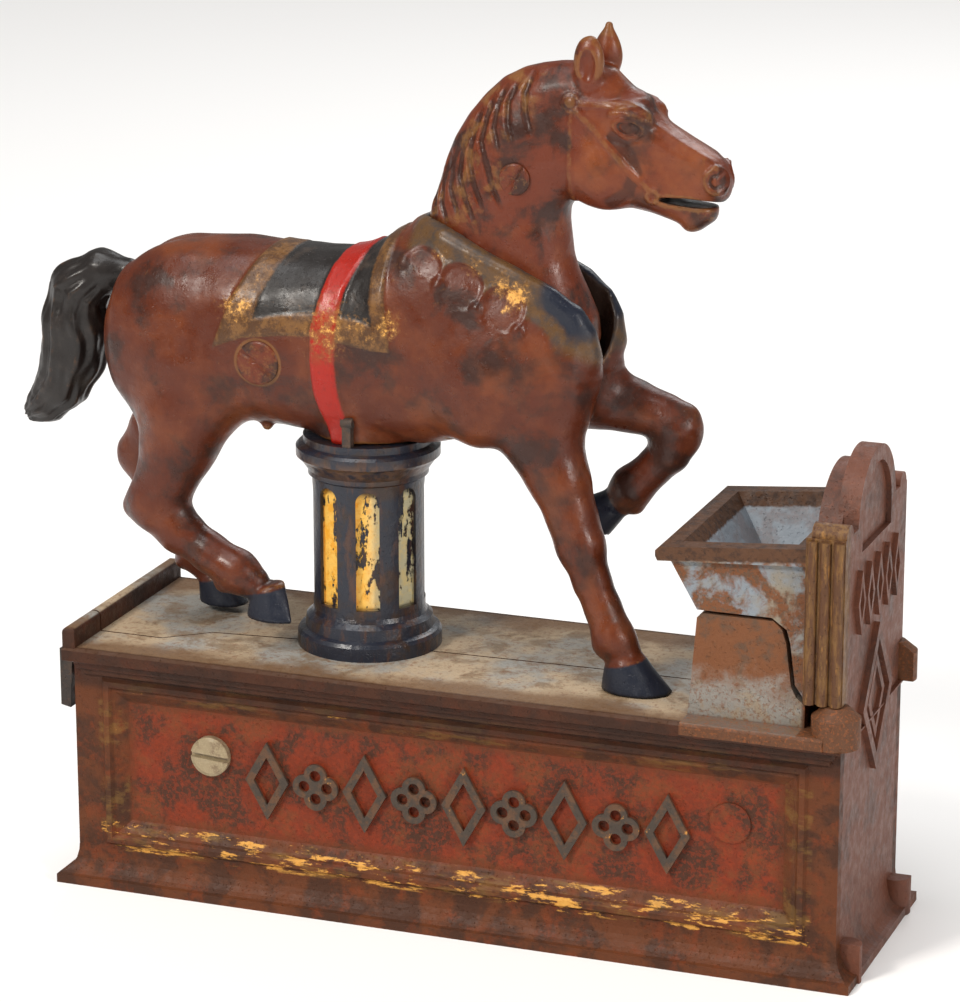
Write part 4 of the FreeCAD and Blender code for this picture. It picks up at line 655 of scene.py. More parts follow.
def bodyRelief(points):
    flat = points[:, [0, 2]]
    cloth = areaDistance(flat, tack["cloth"])
    pad = areaDistance(flat, tack["pad"])
    girth = areaDistance(flat, tack["girth"])
    rim = lineDistance(flat, tack["rimLine"])
    lobe = np.full(len(points), 50.0, np.float32)
    for x, z, r in tack["lobes"]:
        lobe = np.minimum(lobe, np.hypot(flat[:, 0] - x, flat[:, 1] - z) - r)
    band = np.maximum(-lobe, rim - 8.5)
    stud = np.full(len(points), 50.0, np.float32)
    for x, z in tack["studs"]:
        stud = np.minimum(stud, np.hypot(flat[:, 0] - x, flat[:, 1] - z))
    onTrunk = ramp(flat[:, 1], 98, 103)
    rise = 0.55 * (1 - ramp(cloth, -0.4, 0.3))
    rise -= 0.22 * (1 - ramp(pad, -0.4, 0.3))
    rise = np.maximum(rise, 0.8 * (1 - ramp(girth, -0.4, 0.35)))
    rise -= ridge(np.abs(girth - 0.7), 0.45, 0.12) * (flat[:, 0] > -30)
    collar = 0.26 * (1 - ramp(band, -0.7, 0.7)) * ramp(flat[:, 0], -14.5, -11.5)
    upper = ramp(flat[:, 1] + 0.6 * flat[:, 0], 132.5, 137.0)
    collar += ridge(np.abs(lobe), 0.75, 0.26) * upper * ramp(flat[:, 0], -16, -12.5) * (rim < 12)
    for x, z, r in tack["lobes"]:
        fan = np.hypot((flat[:, 0] - x), (flat[:, 1] - z + 0.6) * 1.1)
        collar += 0.06 * (1 - ramp(fan, 0.4, 3.4))
    collar += 0.6 * np.sqrt(np.clip(1 - (stud / 1.5) ** 2, 0, 1))
    rise = np.maximum(rise, collar)
    disc = np.hypot(flat[:, 0] - tack["rivet"][0], flat[:, 1] - tack["rivet"][1])
    gold = np.zeros(len(points), np.float32)
    for x, z, size, amount in tack["giltAndHighlightSpots"]:
        gold = np.maximum(gold, amount * np.exp(-((flat[:, 0] - x) ** 2 + (flat[:, 1] - z) ** 2) / (size * size)))
    masks = {"cloth": cloth, "pad": pad, "girth": girth, "lobe": lobe, "rim": rim, "giltAndHighlightSpot": gold,
             "disc": np.where(points[:, 1] < 0, disc, 50)}
    return rise * onTrunk, masks


def hoofMask(points):
    best = np.full(len(points), 50.0, np.float32)
    for sole, top in hooves.values():
        away = np.hypot(points[:, 0] - sole[0], points[:, 1] - sole[1])
        height = points[:, 2] - (top[2] - 1.4) - 0.25 * (points[:, 0] - top[0])
        best = np.minimum(best, np.where((away < 13) & (np.sign(sole[1]) == np.sign(points[:, 1])), height, 50.0))
    top, sole = (np.array(p[:3], np.float32) for p in farForeHoof)
    axis = (sole - top) / np.linalg.norm(sole - top)
    away = points - top
    along = away @ axis
    off = np.linalg.norm(away - along[:, None] * axis, axis=1)
    return np.minimum(best, np.where((off < 9) & (along < 11) & (points[:, 1] > 2), 0.6 - along, 50.0))


print("sculpting the body")
bodyShape = {"step": 0.56, "quadLimit": 180000, "soleHeight": 56.15}
verts, quads, normals, bend = sculpt(bodyField, (-93, -20, 55.5), (50, 18.5, 157.5), bodyShape["step"],
                                     bodyShape["quadLimit"])
outside = (neckSweep(verts) > 0.9) & (bodyCore(verts) > -1.4)
relief, tackMasks = bodyRelief(verts)
relief = relief * outside
verts = verts + normals * (relief + 0.07 * smoothNoise(verts, 7.0, 5) * outside)[:, None]
verts[:, 2] = np.maximum(verts[:, 2], bodyShape["soleHeight"])
bodyMasks = {"raised": relief, "bend": bend, "hoofMark": hoofMask(verts), "insideMark": 1.0 - outside}
bodyMasks.update(tackMasks)
whole = makeObject("bodyWhole", verts, quads, bodyMasks)
print("body", len(quads))


def halfOf(source, name, side):
    work = bmesh.new()
    work.from_mesh(source.data)
    everything = work.verts[:] + work.edges[:] + work.faces[:]
    bmesh.ops.bisect_plane(work, geom=everything, dist=1e-7, plane_co=(0, 0, 0), plane_no=(0, -side, 0),
                           clear_outer=True)
    rim = [edge for edge in work.edges if len(edge.link_faces) == 1]
    before = len(work.faces)
    border = list({vert for edge in rim for vert in edge.verts})
    number = {vert: i for i, vert in enumerate(border)}
    flat = np.array([(vert.co.x / mm, vert.co.z / mm) for vert in border])
    pairs = [(number[edge.verts[0]], number[edge.verts[1]]) for edge in rim]
    made = geometry.delaunay_2d_cdt([Vector(p) for p in flat.tolist()], pairs, [], 0, 1e-7)
    corners = np.array([list(p) for p in made[0]])
    triangles = np.array(made[2])
    middles = corners[triangles].mean(1)
    inside = np.zeros(len(middles), bool)
    for i, j in pairs:  # a triangle is kept where it is inside the cut
        (ax, az), (bx, bz) = flat[i], flat[j]
        if az != bz:
            crosses = (middles[:, 1] > min(az, bz)) & (middles[:, 1] <= max(az, bz))
            inside ^= crosses & (middles[:, 0] < ax + (middles[:, 1] - az) * (bx - ax) / (bz - az))
    cap = []
    for triangle in triangles[inside].tolist():
        trio = [border[made[3][k][0]] for k in triangle if made[3][k]]
        if len(set(trio)) == 3 and work.faces.get(trio) is None:
            cap.append(work.faces.new(trio))
    gaps = [edge for edge in work.edges if len(edge.link_faces) == 1]
    cap += bmesh.ops.holes_fill(work, edges=gaps, sides=12)["faces"]
    for face in cap:
        face.normal_update()
        if face.normal.y * side > 0:
            face.normal_flip()
    for edge in rim:
        if edge.is_valid:
            edge.smooth = False
    oddEdges = sum(1 for edge in work.edges if len(edge.link_faces) != 2)
    mesh = bpy.data.meshes.new(name)
    work.to_mesh(mesh)
    work.free()
    piece = bpy.data.objects.new(name, mesh)
    bpy.context.collection.objects.link(piece)
    print(name, len(mesh.polygons), "cap", len(mesh.polygons) - before, "edges without two faces", oddEdges)
    return piece


bodyNear = halfOf(whole, "bodyNearHalf", -1)
bodyFar = halfOf(whole, "bodyFarHalf", 1)
bpy.data.objects.remove(whole)


tailShape = {
    "stations": [(-84, 0, 135.2, 3.2), (-90.4, 0, 134.9, 4.7), (-95.8, 0, 130.6, 6.3), (-97.4, 0, 122.5, 7.2),
                 (-98.2, 0, 114.8, 6.9), (-101.0, 0, 108.2, 5.6), (-105.0, 0, 103.4, 4.0), (-108.0, 0, 101.3, 2.3)],
    "step": 0.42, "quadLimit": 99000,
}


def tailField(points):
    whole = chain(points, tailShape["stations"], 2.2, 1.12)
    return np.maximum(whole, 0.15 - bodyCore(points))


print("sculpting the tail")
verts, quads, normals, bend = sculpt(tailField, (-114, -8.5, 96), (-80, 8.5, 142), tailShape["step"],
                                     tailShape["quadLimit"])
path = np.array([s[:3] for s in tailShape["stations"]], np.float32)
best, along, across = np.full(len(verts), 1e6), np.zeros(len(verts)), np.zeros(len(verts))
run = 0.0
for a, b in zip(path[:-1], path[1:]):
    axis = b - a
    length = float(np.linalg.norm(axis))
    axis /= length
    t = np.clip((verts - a) @ axis, 0, length)
    away = verts - a - t[:, None] * axis
    reach = np.linalg.norm(away, axis=1)
    cross = away @ np.array([-axis[2], 0, axis[0]])
    take = reach < best
    best[take], along[take], across[take] = reach[take], run + t[take], np.arctan2(away[take, 1], cross[take])
    run += length
comb = np.sin(across * 9.0 + 1.6 * np.sin(along * 0.16) + 0.9 * smoothNoise(verts, 16.0, 11))
comb2 = np.sin(across * 15.0 + 2.2 * np.sin(along * 0.11 + 1.0) + 1.5 * smoothNoise(verts, 12.0, 12))
relief = (0.26 * comb + 0.14 * comb2) * ramp(along, 3.0, 12.0) * (1 - 0.5 * ramp(along, 44, 52))
verts = verts + normals * relief[:, None]
verts[:, 0] = np.maximum(verts[:, 0], cadLow[0] / mm + 0.1)
tail = makeObject("tailCasting", verts, quads, {"raised": relief, "bend": bend, "alongTail": along})
print("tail", len(quads))


def feed(tree, socket, value):
    value = getattr(value, "socket", value)
    if isinstance(value, bpy.types.NodeSocket):
        tree.links.new(value, socket)
    else:
        socket.default_value = value


def put(tree, kind, inputs=None, **settings):
    node = tree.nodes.new(kind)
    for key, value in settings.items():
        setattr(node, key, value)
    for key, value in (inputs or {}).items():
        feed(tree, node.inputs[key], value)
    return node


def calc(tree, operation, a, b=0.0, c=0.0):
    return Value(tree, put(tree, "ShaderNodeMath", {0: a, 1: b, 2: c}, operation=operation).outputs[0])


class Value:  # the output of a node, ready for sums
    def __init__(self, tree, socket):
        self.tree, self.socket = tree, socket

    def __add__(self, other):
        return calc(self.tree, "ADD", self, other)

    def __sub__(self, other):
        return calc(self.tree, "SUBTRACT", self, other)

    def __rsub__(self, other):
        return calc(self.tree, "SUBTRACT", other, self)

    def __mul__(self, other):
        return calc(self.tree, "MULTIPLY", self, other)

    def __abs__(self):
        return calc(self.tree, "ABSOLUTE", self)

    def fade(self, low, high, toLow=0.0, toHigh=1.0):
        inputs = {0: self, 1: low, 2: high, 3: toLow, 4: toHigh}
        node = put(self.tree, "ShaderNodeMapRange", inputs, interpolation_type="SMOOTHSTEP", clamp=True)
        return Value(self.tree, node.outputs[0])


class Painter:  # builds the nodes of one material or one group, in millimetres
    def __init__(self, owner):
        self.owner = owner
        self.tree = getattr(owner, "node_tree", owner)
        metres = self.tree.nodes.new("ShaderNodeTexCoord").outputs["Object"]
        inputs = {0: metres, "Scale": 1 / mm}
        self.where = put(self.tree, "ShaderNodeVectorMath", inputs, operation="SCALE").outputs[0]

    def calc(self, operation, a, b=0.0, c=0.0):
        return calc(self.tree, operation, a, b, c)

    def axes(self, vector):
        return [Value(self.tree, socket) for socket in put(self.tree, "ShaderNodeSeparateXYZ", {0: vector}).outputs]

    def place(self):
        return self.axes(self.where)

    def stretch(self, factors):
        inputs = {0: self.where, 1: factors}
        return put(self.tree, "ShaderNodeVectorMath", inputs, operation="MULTIPLY").outputs[0]

    def cloud(self, scale, detail=4.0, rough=0.55, warp=0.0, at=None):
        inputs = {"Vector": self.where if at is None else at, "Scale": scale, "Detail": detail, "Roughness": rough,
                  "Distortion": warp}
        return Value(self.tree, put(self.tree, "ShaderNodeTexNoise", inputs).outputs[0])

    def patch(self, scale, detail, rough, low, high, toLow=0.0, toHigh=1.0, at=None):  # noise cut into patches
        return self.cloud(scale, detail, rough, at=at).fade(low, high, toLow, toHigh)

    def shade(self, mask, a, b):  # from a to b; a colour may be given by its name
        a, b = ((*paints[value], 1.0) if isinstance(value, str) else value for value in (a, b))
        return put(self.tree, "ShaderNodeMix", {0: mask, 6: a, 7: b}, data_type="RGBA").outputs[2]

    def mark(self, name):
        return Value(self.tree, put(self.tree, "ShaderNodeAttribute", attribute_name=name).outputs["Fac"])

    def group(self, group, **values):
        node = put(self.tree, "ShaderNodeGroup", node_tree=group)
        for key, value in values.items():
            node.inputs[key].default_value = value
        return {socket.name: Value(self.tree, socket) for socket in node.outputs}

    def stains(self, size, spread, shift):
        return self.group(ageStains, Size=size, Spread=spread, Shift=shift)

    def finish(self, colour, rough, bump=0.25, dimple=1.0, tooth=1.0, coat=0.0, extraHeight=None, specular=0.3):
        skin = self.group(castSkin, Dimple=dimple, Tooth=tooth)["Height"]
        if extraHeight is not None:
            skin = skin + extraHeight
        inputs = {"Strength": 1.0, "Distance": bump * mm, "Height": skin}
        normal = put(self.tree, "ShaderNodeBump", inputs).outputs[0]
        inputs = {"Base Color": colour, "Roughness": rough, "Coat Weight": coat, "Coat Roughness": 0.2,
                  "Specular IOR Level": specular, "Normal": normal}
        shader = put(self.tree, "ShaderNodeBsdfPrincipled", inputs)
        put(self.tree, "ShaderNodeOutputMaterial", {0: shader.outputs[0]})
        return self.owner


def newGroup(name, inputs, outputs):
    group = bpy.data.node_groups.new(name, "ShaderNodeTree")
    for label, value in inputs.items():
        socket = group.interface.new_socket(name=label, in_out="INPUT", socket_type="NodeSocketFloat")
        socket.default_value = value
    for label in outputs:
        group.interface.new_socket(name=label, in_out="OUTPUT", socket_type="NodeSocketFloat")
    given, result = group.nodes.new("NodeGroupInput"), group.nodes.new("NodeGroupOutput")
    return Painter(group), [Value(group, given.outputs[label]) for label in inputs], result


def buildGrain():  # sand-cast skin: soft dimples, fine tooth and a few pits
    kit, (dimple, tooth), result = newGroup("castSkin", {"Dimple": 1.0, "Tooth": 1.0}, ["Height"])
    dimples = kit.cloud(0.55, 3.0) * dimple
    grains = kit.cloud(3.2, 3.0, 0.6) * tooth
    pits = kit.cloud(1.7, 2.0).fade(0.62, 0.74, 0.0, -0.6)
    feed(kit.tree, result.inputs[0], dimples + grains * 0.28 + pits * tooth)
    return kit.owner


def buildBlotches():  # large stains and small flecks, each 0 to 1
    kit, (size, spread, shift), result = newGroup("ageStains", {"Size": 1.0, "Spread": 0.5, "Shift": 0.0},
                                                  ["Stain", "Fleck"])
    shifted = put(kit.tree, "ShaderNodeCombineXYZ", {0: shift, 1: shift, 2: shift}).outputs[0]
    spot = put(kit.tree, "ShaderNodeVectorMath", {0: kit.where, 1: shifted}, operation="ADD").outputs[0]
    scale = kit.calc("DIVIDE", 0.09, size)
    low = kit.calc("MULTIPLY_ADD", 1.0 - spread, 0.5, 0.22)
    stain = kit.cloud(scale, 6.0, 0.62, 0.3, at=spot).fade(low, low + 0.14)
    fleck = kit.cloud(scale * 8.0, 5.0, 0.7, at=spot).fade(low + 0.06, low + 0.12)
    for index, value in enumerate((stain, fleck)):
        feed(kit.tree, result.inputs[index], value)
    return kit.owner


castSkin = buildGrain()
ageStains = buildBlotches()


def startMaterial(name):
    material = bpy.data.materials.new(name)
    material.use_nodes = True
    material.node_tree.nodes.clear()
    return material


paints = {
    "horse": (0.122, 0.023, 0.0075), "horseDark": (0.036, 0.012, 0.0075), "horseWarm": (0.205, 0.052, 0.014),
    "bronze": (0.21, 0.092, 0.026), "gold": (0.82, 0.42, 0.1), "black": (0.014, 0.011, 0.01),
    "blueBlack": (0.013, 0.016, 0.027), "red": (0.33, 0.012, 0.005), "collar": (0.105, 0.056, 0.022),
    "panelRed": (0.17, 0.029, 0.011), "panelDark": (0.064, 0.025, 0.014), "frameBrown": (0.112, 0.034, 0.012),
    "deckGrey": (0.4, 0.3, 0.195), "deckBlue": (0.275, 0.262, 0.235), "rust": (0.165, 0.06, 0.022),
    "endPink": (0.13, 0.046, 0.026), "horseBodyShaded": (0.086, 0.0165, 0.005), "clothDark": (0.075, 0.034, 0.013),
    "clothGilt": (0.17, 0.08, 0.024), "padWorn": (0.048, 0.034, 0.026), "collarDark": (0.055, 0.04, 0.03),
    "redDark": (0.17, 0.012, 0.008), "goldThin": (0.28, 0.135, 0.04), "inside": (0.03, 0.018, 0.013),
    "tailWorn": (0.035, 0.026, 0.022), "tailTip": (0.11, 0.055, 0.028), "panelWarm": (0.17, 0.048, 0.016),
    "panelBright": (0.27, 0.036, 0.01), "ornamentDark": (0.06, 0.046, 0.036), "ornamentBrown": (0.115, 0.06, 0.034),
    "ornamentGold": (0.55, 0.25, 0.06), "frameDark": (0.058, 0.022, 0.011), "frameRed": (0.165, 0.036, 0.01),
    "giltDeep": (0.6, 0.24, 0.03), "giltPale": (0.74, 0.42, 0.1), "giltThin": (0.21, 0.115, 0.03),
    "deckStain": (0.18, 0.118, 0.066), "deckWorn": (0.15, 0.078, 0.036), "deckRim": (0.065, 0.027, 0.012),
    "underDeckShade": (0.03, 0.013, 0.008), "seatGrey": (0.24, 0.225, 0.2), "seatTan": (0.26, 0.205, 0.145),
    "rustDark": (0.1, 0.055, 0.032), "cornerBrown": (0.105, 0.042, 0.018), "cornerRed": (0.2, 0.062, 0.018),
    "troughBlue": (0.215, 0.245, 0.275), "troughTan": (0.24, 0.205, 0.155), "troughInner": (0.255, 0.29, 0.33),
    "troughRim": (0.088, 0.038, 0.017), "troughRimDark": (0.045, 0.021, 0.012), "columnBrown": (0.03, 0.016, 0.011),
    "columnRust": (0.085, 0.034, 0.015), "columnCrest": (0.115, 0.058, 0.03), "nicheYellow": (0.86, 0.5, 0.09),
    "nicheSheenCream": (0.5, 0.46, 0.3), "nicheOrange": (0.8, 0.36, 0.02), "nicheSheenStraw": (0.62, 0.5, 0.24),
    "endDark": (0.085, 0.036, 0.024), "endRed": (0.19, 0.06, 0.03), "ribDark": (0.085, 0.036, 0.014),
    "ribGilt": (0.175, 0.088, 0.026), "ribGold": (0.32, 0.15, 0.035), "ironDark": (0.04, 0.032, 0.028),
    "ironBrown": (0.075, 0.045, 0.03), "ironRust": (0.115, 0.06, 0.035), "brassDull": (0.3, 0.235, 0.14),
    "brassDark": (0.21, 0.15, 0.09), "brassBright": (0.42, 0.34, 0.22), "wireGrey": (0.2, 0.19, 0.18),
    "wireDark": (0.12, 0.1, 0.085), "wireBright": (0.3, 0.27, 0.24),
}
panel = {"halfLength": 75.8, "halfHeight": 14.2, "middle": 29.0}


def horseMaterial(name, isHead):
    kit = Painter(startMaterial(name))
    aged = kit.stains(1.0, 0.5, 3.0)
    # the body starts from a darker copy of the head's brown and takes fewer warm patches: painted shade for the body,
    # which is less lit than the head
    colour = kit.shade(aged["Stain"], "horse" if isHead else "horseBodyShaded", "horseDark")
    warm = kit.patch(0.06, 4.0, 0.6, 0.45, 0.68, 0.0, 0.9 if isHead else 0.55)
    colour = kit.shade(warm, colour, "horseWarm")
    raised, bend = kit.mark("raised"), kit.mark("bend")
    grit = kit.cloud(0.8, 6.0, 0.7)
    dip = raised.fade(-0.04, -0.3)
    colour = kit.shade(dip * 0.85, colour, "horseDark")
    worn = (bend * 0.5 + grit * 0.9).fade(0.66, 0.92)
    colour = kit.shade(worn * 0.55, colour, "bronze")
    if isHead:
        edge = (raised + grit * 0.9).fade(0.66, 0.98)
        colour = kit.shade(edge * 0.45, colour, "bronze")
        mane = kit.mark("maneMark") * kit.patch(0.25, 5.0, 0.6, 0.5, 0.68)
        colour = kit.shade(mane * 0.7, colour, "bronze")
        # painted shade inside the mouth slit
        colour = kit.shade(kit.mark("mouthSlitShade"), colour, "black")
        colour = kit.shade(kit.mark("eyeMark") * 0.75, colour, "horseDark")
    else:
        ragged = (kit.cloud(1.1, 6.0, 0.72) - 0.5) * 1.6
        cloth, pad, girth = (kit.mark(name) for name in ("cloth", "pad", "girth"))
        inCloth = (cloth + ragged * 0.4).fade(0.25, -0.25)
        border = kit.shade(kit.patch(0.35, 6.0, 0.75, 0.44, 0.6), "clothDark", "clothGilt")
        colour = kit.shade(inCloth * 0.92, colour, border)
        inPad = (pad + ragged * 0.8).fade(0.4, -0.4)
        padPaint = kit.shade(kit.patch(0.16, 5.0, 0.6, 0.5, 0.72), "black", "padWorn")
        colour = kit.shade(inPad, colour, padPaint)
        rim, lobe = kit.mark("rim"), kit.mark("lobe")
        px, _, pz = kit.place()
        inBand = (lobe + ragged * 0.6).fade(-0.3, 0.4) * (rim + ragged).fade(7.6, 6.2)
        inBand = inBand * px.fade(-15.0, -12.0)
        inBand = inBand * (pz + px * 0.5).fade(139.0, 143.0)
        collarPaint = kit.shade(kit.patch(0.3, 5.0, 0.7, 0.42, 0.62), "collar", "collarDark")
        colour = kit.shade(inBand * 0.9, colour, collarPaint)
        front = px.fade(16.0, 19.0) * (rim + ragged).fade(4.6, 3.0)
        front = front * pz.fade(130.0, 134.0)
        colour = kit.shade(front, colour, "blueBlack")
        inGirth = (girth + ragged * 0.35).fade(0.3, -0.25)
        faded = abs(pz - 130.0).fade(9.5, 3.0) * kit.patch(0.3, 6.0, 0.75, 0.42, 0.56)
        girthPaint = kit.shade(kit.patch(0.7, 5.0, 0.7, 0.52, 0.7) * 0.5, "red", "redDark")
        girthPaint = kit.shade(faded * 0.85, girthPaint, "horseWarm")
        colour = kit.shade(inGirth, colour, girthPaint)
        # gold spots and flecks: mostly worn gilt, with a painted highlight in the spots on the barrel side near x -16
        # to -23
        speck = kit.mark("giltAndHighlightSpot") + (kit.cloud(0.75, 7.0, 0.78) - 0.5) * 2.6
        goldMask = speck.fade(0.62, 1.0)
        colour = kit.shade(speck.fade(0.3, 0.75) * 0.55, colour, "goldThin")
        colour = kit.shade(goldMask * 0.9, colour, "gold")
        hoof = (kit.mark("hoofMark") + ragged * 0.5).fade(0.3, -0.3)
        colour = kit.shade(hoof, colour, "blueBlack")
        disc = abs(kit.mark("disc") - 5.1).fade(0.6, 0.2)
        colour = kit.shade(disc * 0.6, colour, "bronze")
        colour = kit.shade(kit.mark("insideMark"), colour, "inside")
    roughness = kit.patch(0.3, 5.0, 0.6, 0.3, 0.7, 0.26, 0.5)
    return kit.finish(colour, roughness, 0.16, 0.8, 0.5, coat=0.05, specular=0.32)


def tailMaterial():
    kit = Painter(startMaterial("tailEnamel"))
    colour = kit.shade(kit.patch(0.2, 5.0, 0.65, 0.5, 0.72, 0.0, 0.8), "black", "tailWorn")
    tip = kit.mark("raised").fade(0.12, 0.42) * kit.patch(0.5, 6.0, 0.7, 0.5, 0.66)
    colour = kit.shade(tip * 0.6, colour, "tailTip")
    return kit.finish(colour, 0.34, 0.14, 0.6, 0.5, coat=0.08, specular=0.34)


def caseMaterial():
    kit = Painter(startMaterial("caseEnamel"))
    px, py, pz = kit.place()
    up = kit.axes(kit.tree.nodes.new("ShaderNodeNewGeometry").outputs["True Normal"])[2].fade(0.55, 0.8)
    ragged = (kit.cloud(0.5, 6.0, 0.72) - 0.5) * 5.0
    sideX = panel["halfLength"] - abs(px)
    sideZ = panel["halfHeight"] - abs(pz - panel["middle"])
    inside = kit.calc("MINIMUM", sideX, sideZ)  # distance inside the edge of the panel
    aged = kit.stains(0.85, 0.58, 11.0)
    red = kit.shade(aged["Stain"], "panelRed", "panelDark")
    red = kit.shade(kit.patch(0.11, 6.0, 0.7, 0.48, 0.62) * 0.7, red, "panelWarm")
    red = kit.shade(aged["Fleck"] * 0.4, red, "panelBright")
    depth = abs(py)
    proud = depth.fade(23.2, 23.6)  # the faces of the ornament stand above the floor of the panel
    metal = kit.shade(kit.patch(0.35, 6.0, 0.7, 0.45, 0.62), "ornamentDark", "ornamentBrown")
    metal = kit.shade(kit.patch(0.22, 5.0, 0.7, 0.62, 0.68), metal, "ornamentGold")
    red = kit.shade(proud, red, metal)
    edgeDirt = (inside + ragged * 0.4).fade(2.6, 0.2, 0.0, 0.6)
    red = kit.shade(edgeDirt, red, "frameBrown")
    brown = kit.shade(aged["Stain"], "frameBrown", "frameDark")
    brown = kit.shade(kit.patch(0.18, 6.0, 0.7, 0.5, 0.66) * 0.7, brown, "frameRed")
    low = pz.fade(16.5, 13.0)  # gold is left along the mouldings, most of it along the bottom
    stretched = kit.stretch((0.28, 1.0, 1.1))
    streaks = kit.cloud(0.42, 7.0, 0.72, at=stretched)
    frameBand = inside.fade(0.6, -0.4) * inside.fade(-6.9, -6.2)
    need = kit.calc("MULTIPLY_ADD", low, -0.13, 0.655)
    goldMask = frameBand * streaks.fade(need, need + 0.05)
    brown = kit.shade(goldMask * 0.9, brown, kit.shade(kit.cloud(1.4, 4.0), "giltDeep", "giltPale"))
    yellow = frameBand * kit.patch(0.3, 5.0, 0.7, 0.5, 0.64, 0.0, 0.45, at=stretched)
    brown = kit.shade(yellow, brown, "giltThin")
    onPanel = inside.fade(-0.5, 0.4) * depth.fade(20.5, 21.0)
    side = kit.shade(onPanel, brown, red)
    # painted deck
    deck = kit.shade(kit.patch(0.05, 5.0, 0.6, 0.42, 0.6), "deckGrey", "deckBlue")
    marks = kit.stains(0.7, 0.47, 31.0)
    deck = kit.shade(marks["Stain"] * 0.75, deck, "deckStain")
    deck = kit.shade(marks["Fleck"] * 0.5, deck, "rust")
    toEdge = 28.4 - depth
    broad = (kit.cloud(0.035, 3.0) - 0.5) * 24.0
    worn = (toEdge + (ragged + broad)).fade(11.0, 4.0)
    deck = kit.shade(worn * 0.85, deck, "deckWorn")
    deck = kit.shade((toEdge + ragged * 0.25).fade(1.8, 0.7), deck, "deckRim")
    onDeck = up * pz.fade(54.8, 55.4)
    # painted shade: the side darkens towards the top, under the overhang of the deck
    shadowed = pz.fade(45.0, 47.5, 0.0, 0.7)
    side = kit.shade(shadowed, side, "underDeckShade")
    colour = kit.shade(onDeck, side, deck)
    roughness = kit.patch(0.4, 5.0, 0.65, 0.3, 0.7, 0.42, 0.66)
    return kit.finish(colour, roughness, 0.22, 1.0, 1.0, specular=0.2)


def mixedMaterial(name, first, second, third, size, spread, shift, rough=(0.42, 0.68), bump=0.24, fleckAmount=0.5,
                  coat=0.0):
    kit = Painter(startMaterial(name))
    aged = kit.stains(size, spread, shift)
    colour = kit.shade(aged["Stain"], first, second)
    colour = kit.shade(aged["Fleck"] * fleckAmount, colour, third)
    colour = kit.shade(kit.patch(0.25, 6.0, 0.7, 0.52, 0.7, 0.0, 0.35), colour, third)
    roughness = kit.patch(0.4, 5.0, 0.65, 0.3, 0.7, *rough)
    return kit.finish(colour, roughness, bump, 1.0, 1.0, coat=coat)


def seatMaterial():  # rust above and grey paint below
    kit = Painter(startMaterial("seatEnamel"))
    px, _, pz = kit.place()
    height = pz + (kit.cloud(0.11, 6.0, 0.7) - 0.5) * 26.0
    aged = kit.stains(0.5, 0.5, 7.0)
    grey = kit.shade(aged["Stain"], "seatGrey", "seatTan")
    grey = kit.shade(aged["Fleck"] * 0.6, grey, "rust")
    brown = kit.shade(aged["Stain"], "rust", "rustDark")
    colour = kit.shade(height.fade(60.0, 69.0), grey, brown)
    corner = px.fade(78.4, 79.4)
    edge = kit.calc("MAXIMUM", corner, pz.fade(56.6, 55.6))
    colour = kit.shade(edge, colour, kit.shade(aged["Fleck"], "cornerBrown", "cornerRed"))
    roughness = kit.patch(0.4, 5.0, 0.65, 0.3, 0.7, 0.46, 0.7)
    return kit.finish(colour, roughness, 0.26)


def hopperMaterial():
    kit = Painter(startMaterial("hopperEnamel"))
    px, py, pz = kit.place()
    rimHeight = pz - kit.calc("MULTIPLY_ADD", px - 47.0, 0.09, 92.6)
    aged = kit.stains(0.6, 0.6, 17.0)
    inner = py.fade(-17.0, -14.0)
    blue = kit.shade(kit.patch(0.09, 5.0, 0.6, 0.45, 0.62), "troughBlue", "troughTan")
    blue = kit.shade(inner, blue, "troughInner")
    rusty = kit.shade(aged["Fleck"], "rust", "ornamentBrown")
    rustAmount = aged["Stain"] * kit.calc("MULTIPLY_ADD", inner, -0.65, 1.0)
    colour = kit.shade(rustAmount, blue, rusty)
    rim = kit.shade(kit.patch(0.5, 6.0, 0.7, 0.45, 0.62), "troughRim", "troughRimDark")
    colour = kit.shade((rimHeight + kit.cloud(0.6, 5.0)).fade(-2.9, -2.3), colour, rim)
    roughness = kit.patch(0.4, 5.0, 0.65, 0.3, 0.7, 0.44, 0.7)
    return kit.finish(colour, roughness, 0.24)


def columnMaterial():
    kit = Painter(startMaterial("columnEnamel"))
    px, py, pz = kit.place()
    ax = px + 27.0  # the column stands 27 mm to the left of the middle
    radius = kit.calc("SQRT", ax * ax + py * py)
    aged = kit.stains(0.6, 0.45, 5.0)
    colour = kit.shade(aged["Stain"], "blueBlack", "columnBrown")
    tall = kit.stretch((1.0, 1.0, 0.3))
    colour = kit.shade(kit.patch(0.35, 6.0, 0.7, 0.5, 0.66, 0.0, 0.7, at=tall), colour, "columnRust")
    crest = abs(pz - 98.2).fade(3.2, 0.8) * kit.patch(0.3, 5.0, 0.65, 0.4, 0.56)
    colour = kit.shade(crest * 0.7, colour, "columnCrest")
    niche = radius.fade(11.75, 11.45) * (pz.fade(66.0, 67.2) * pz.fade(93.6, 91.4))
    flake = kit.cloud(0.42, 8.0, 0.66, at=tall)
    chips = kit.cloud(0.9, 6.0, 0.7)
    left = niche * (flake * 0.75 + chips * 0.25).fade(0.455, 0.475)
    # painted light: niches on the right-hand side of the column are painted paler, cream and straw, than the yellow
    # and orange ones on the left
    sideSheen = px.fade(-24.5, -20.0)
    cream = kit.shade(sideSheen, "nicheYellow", "nicheSheenCream")
    cream = kit.shade(kit.patch(0.4, 5.0, 0.7, 0.45, 0.62), cream, kit.shade(sideSheen, "nicheOrange", "nicheSheenStraw"))
    colour = kit.shade(left, colour, cream)
    roughness = left.fade(0.0, 1.0, 0.3, 0.55)
    return kit.finish(colour, roughness, 0.2, 1.0, 0.8, coat=0.12, extraHeight=left * 0.8, specular=0.4)


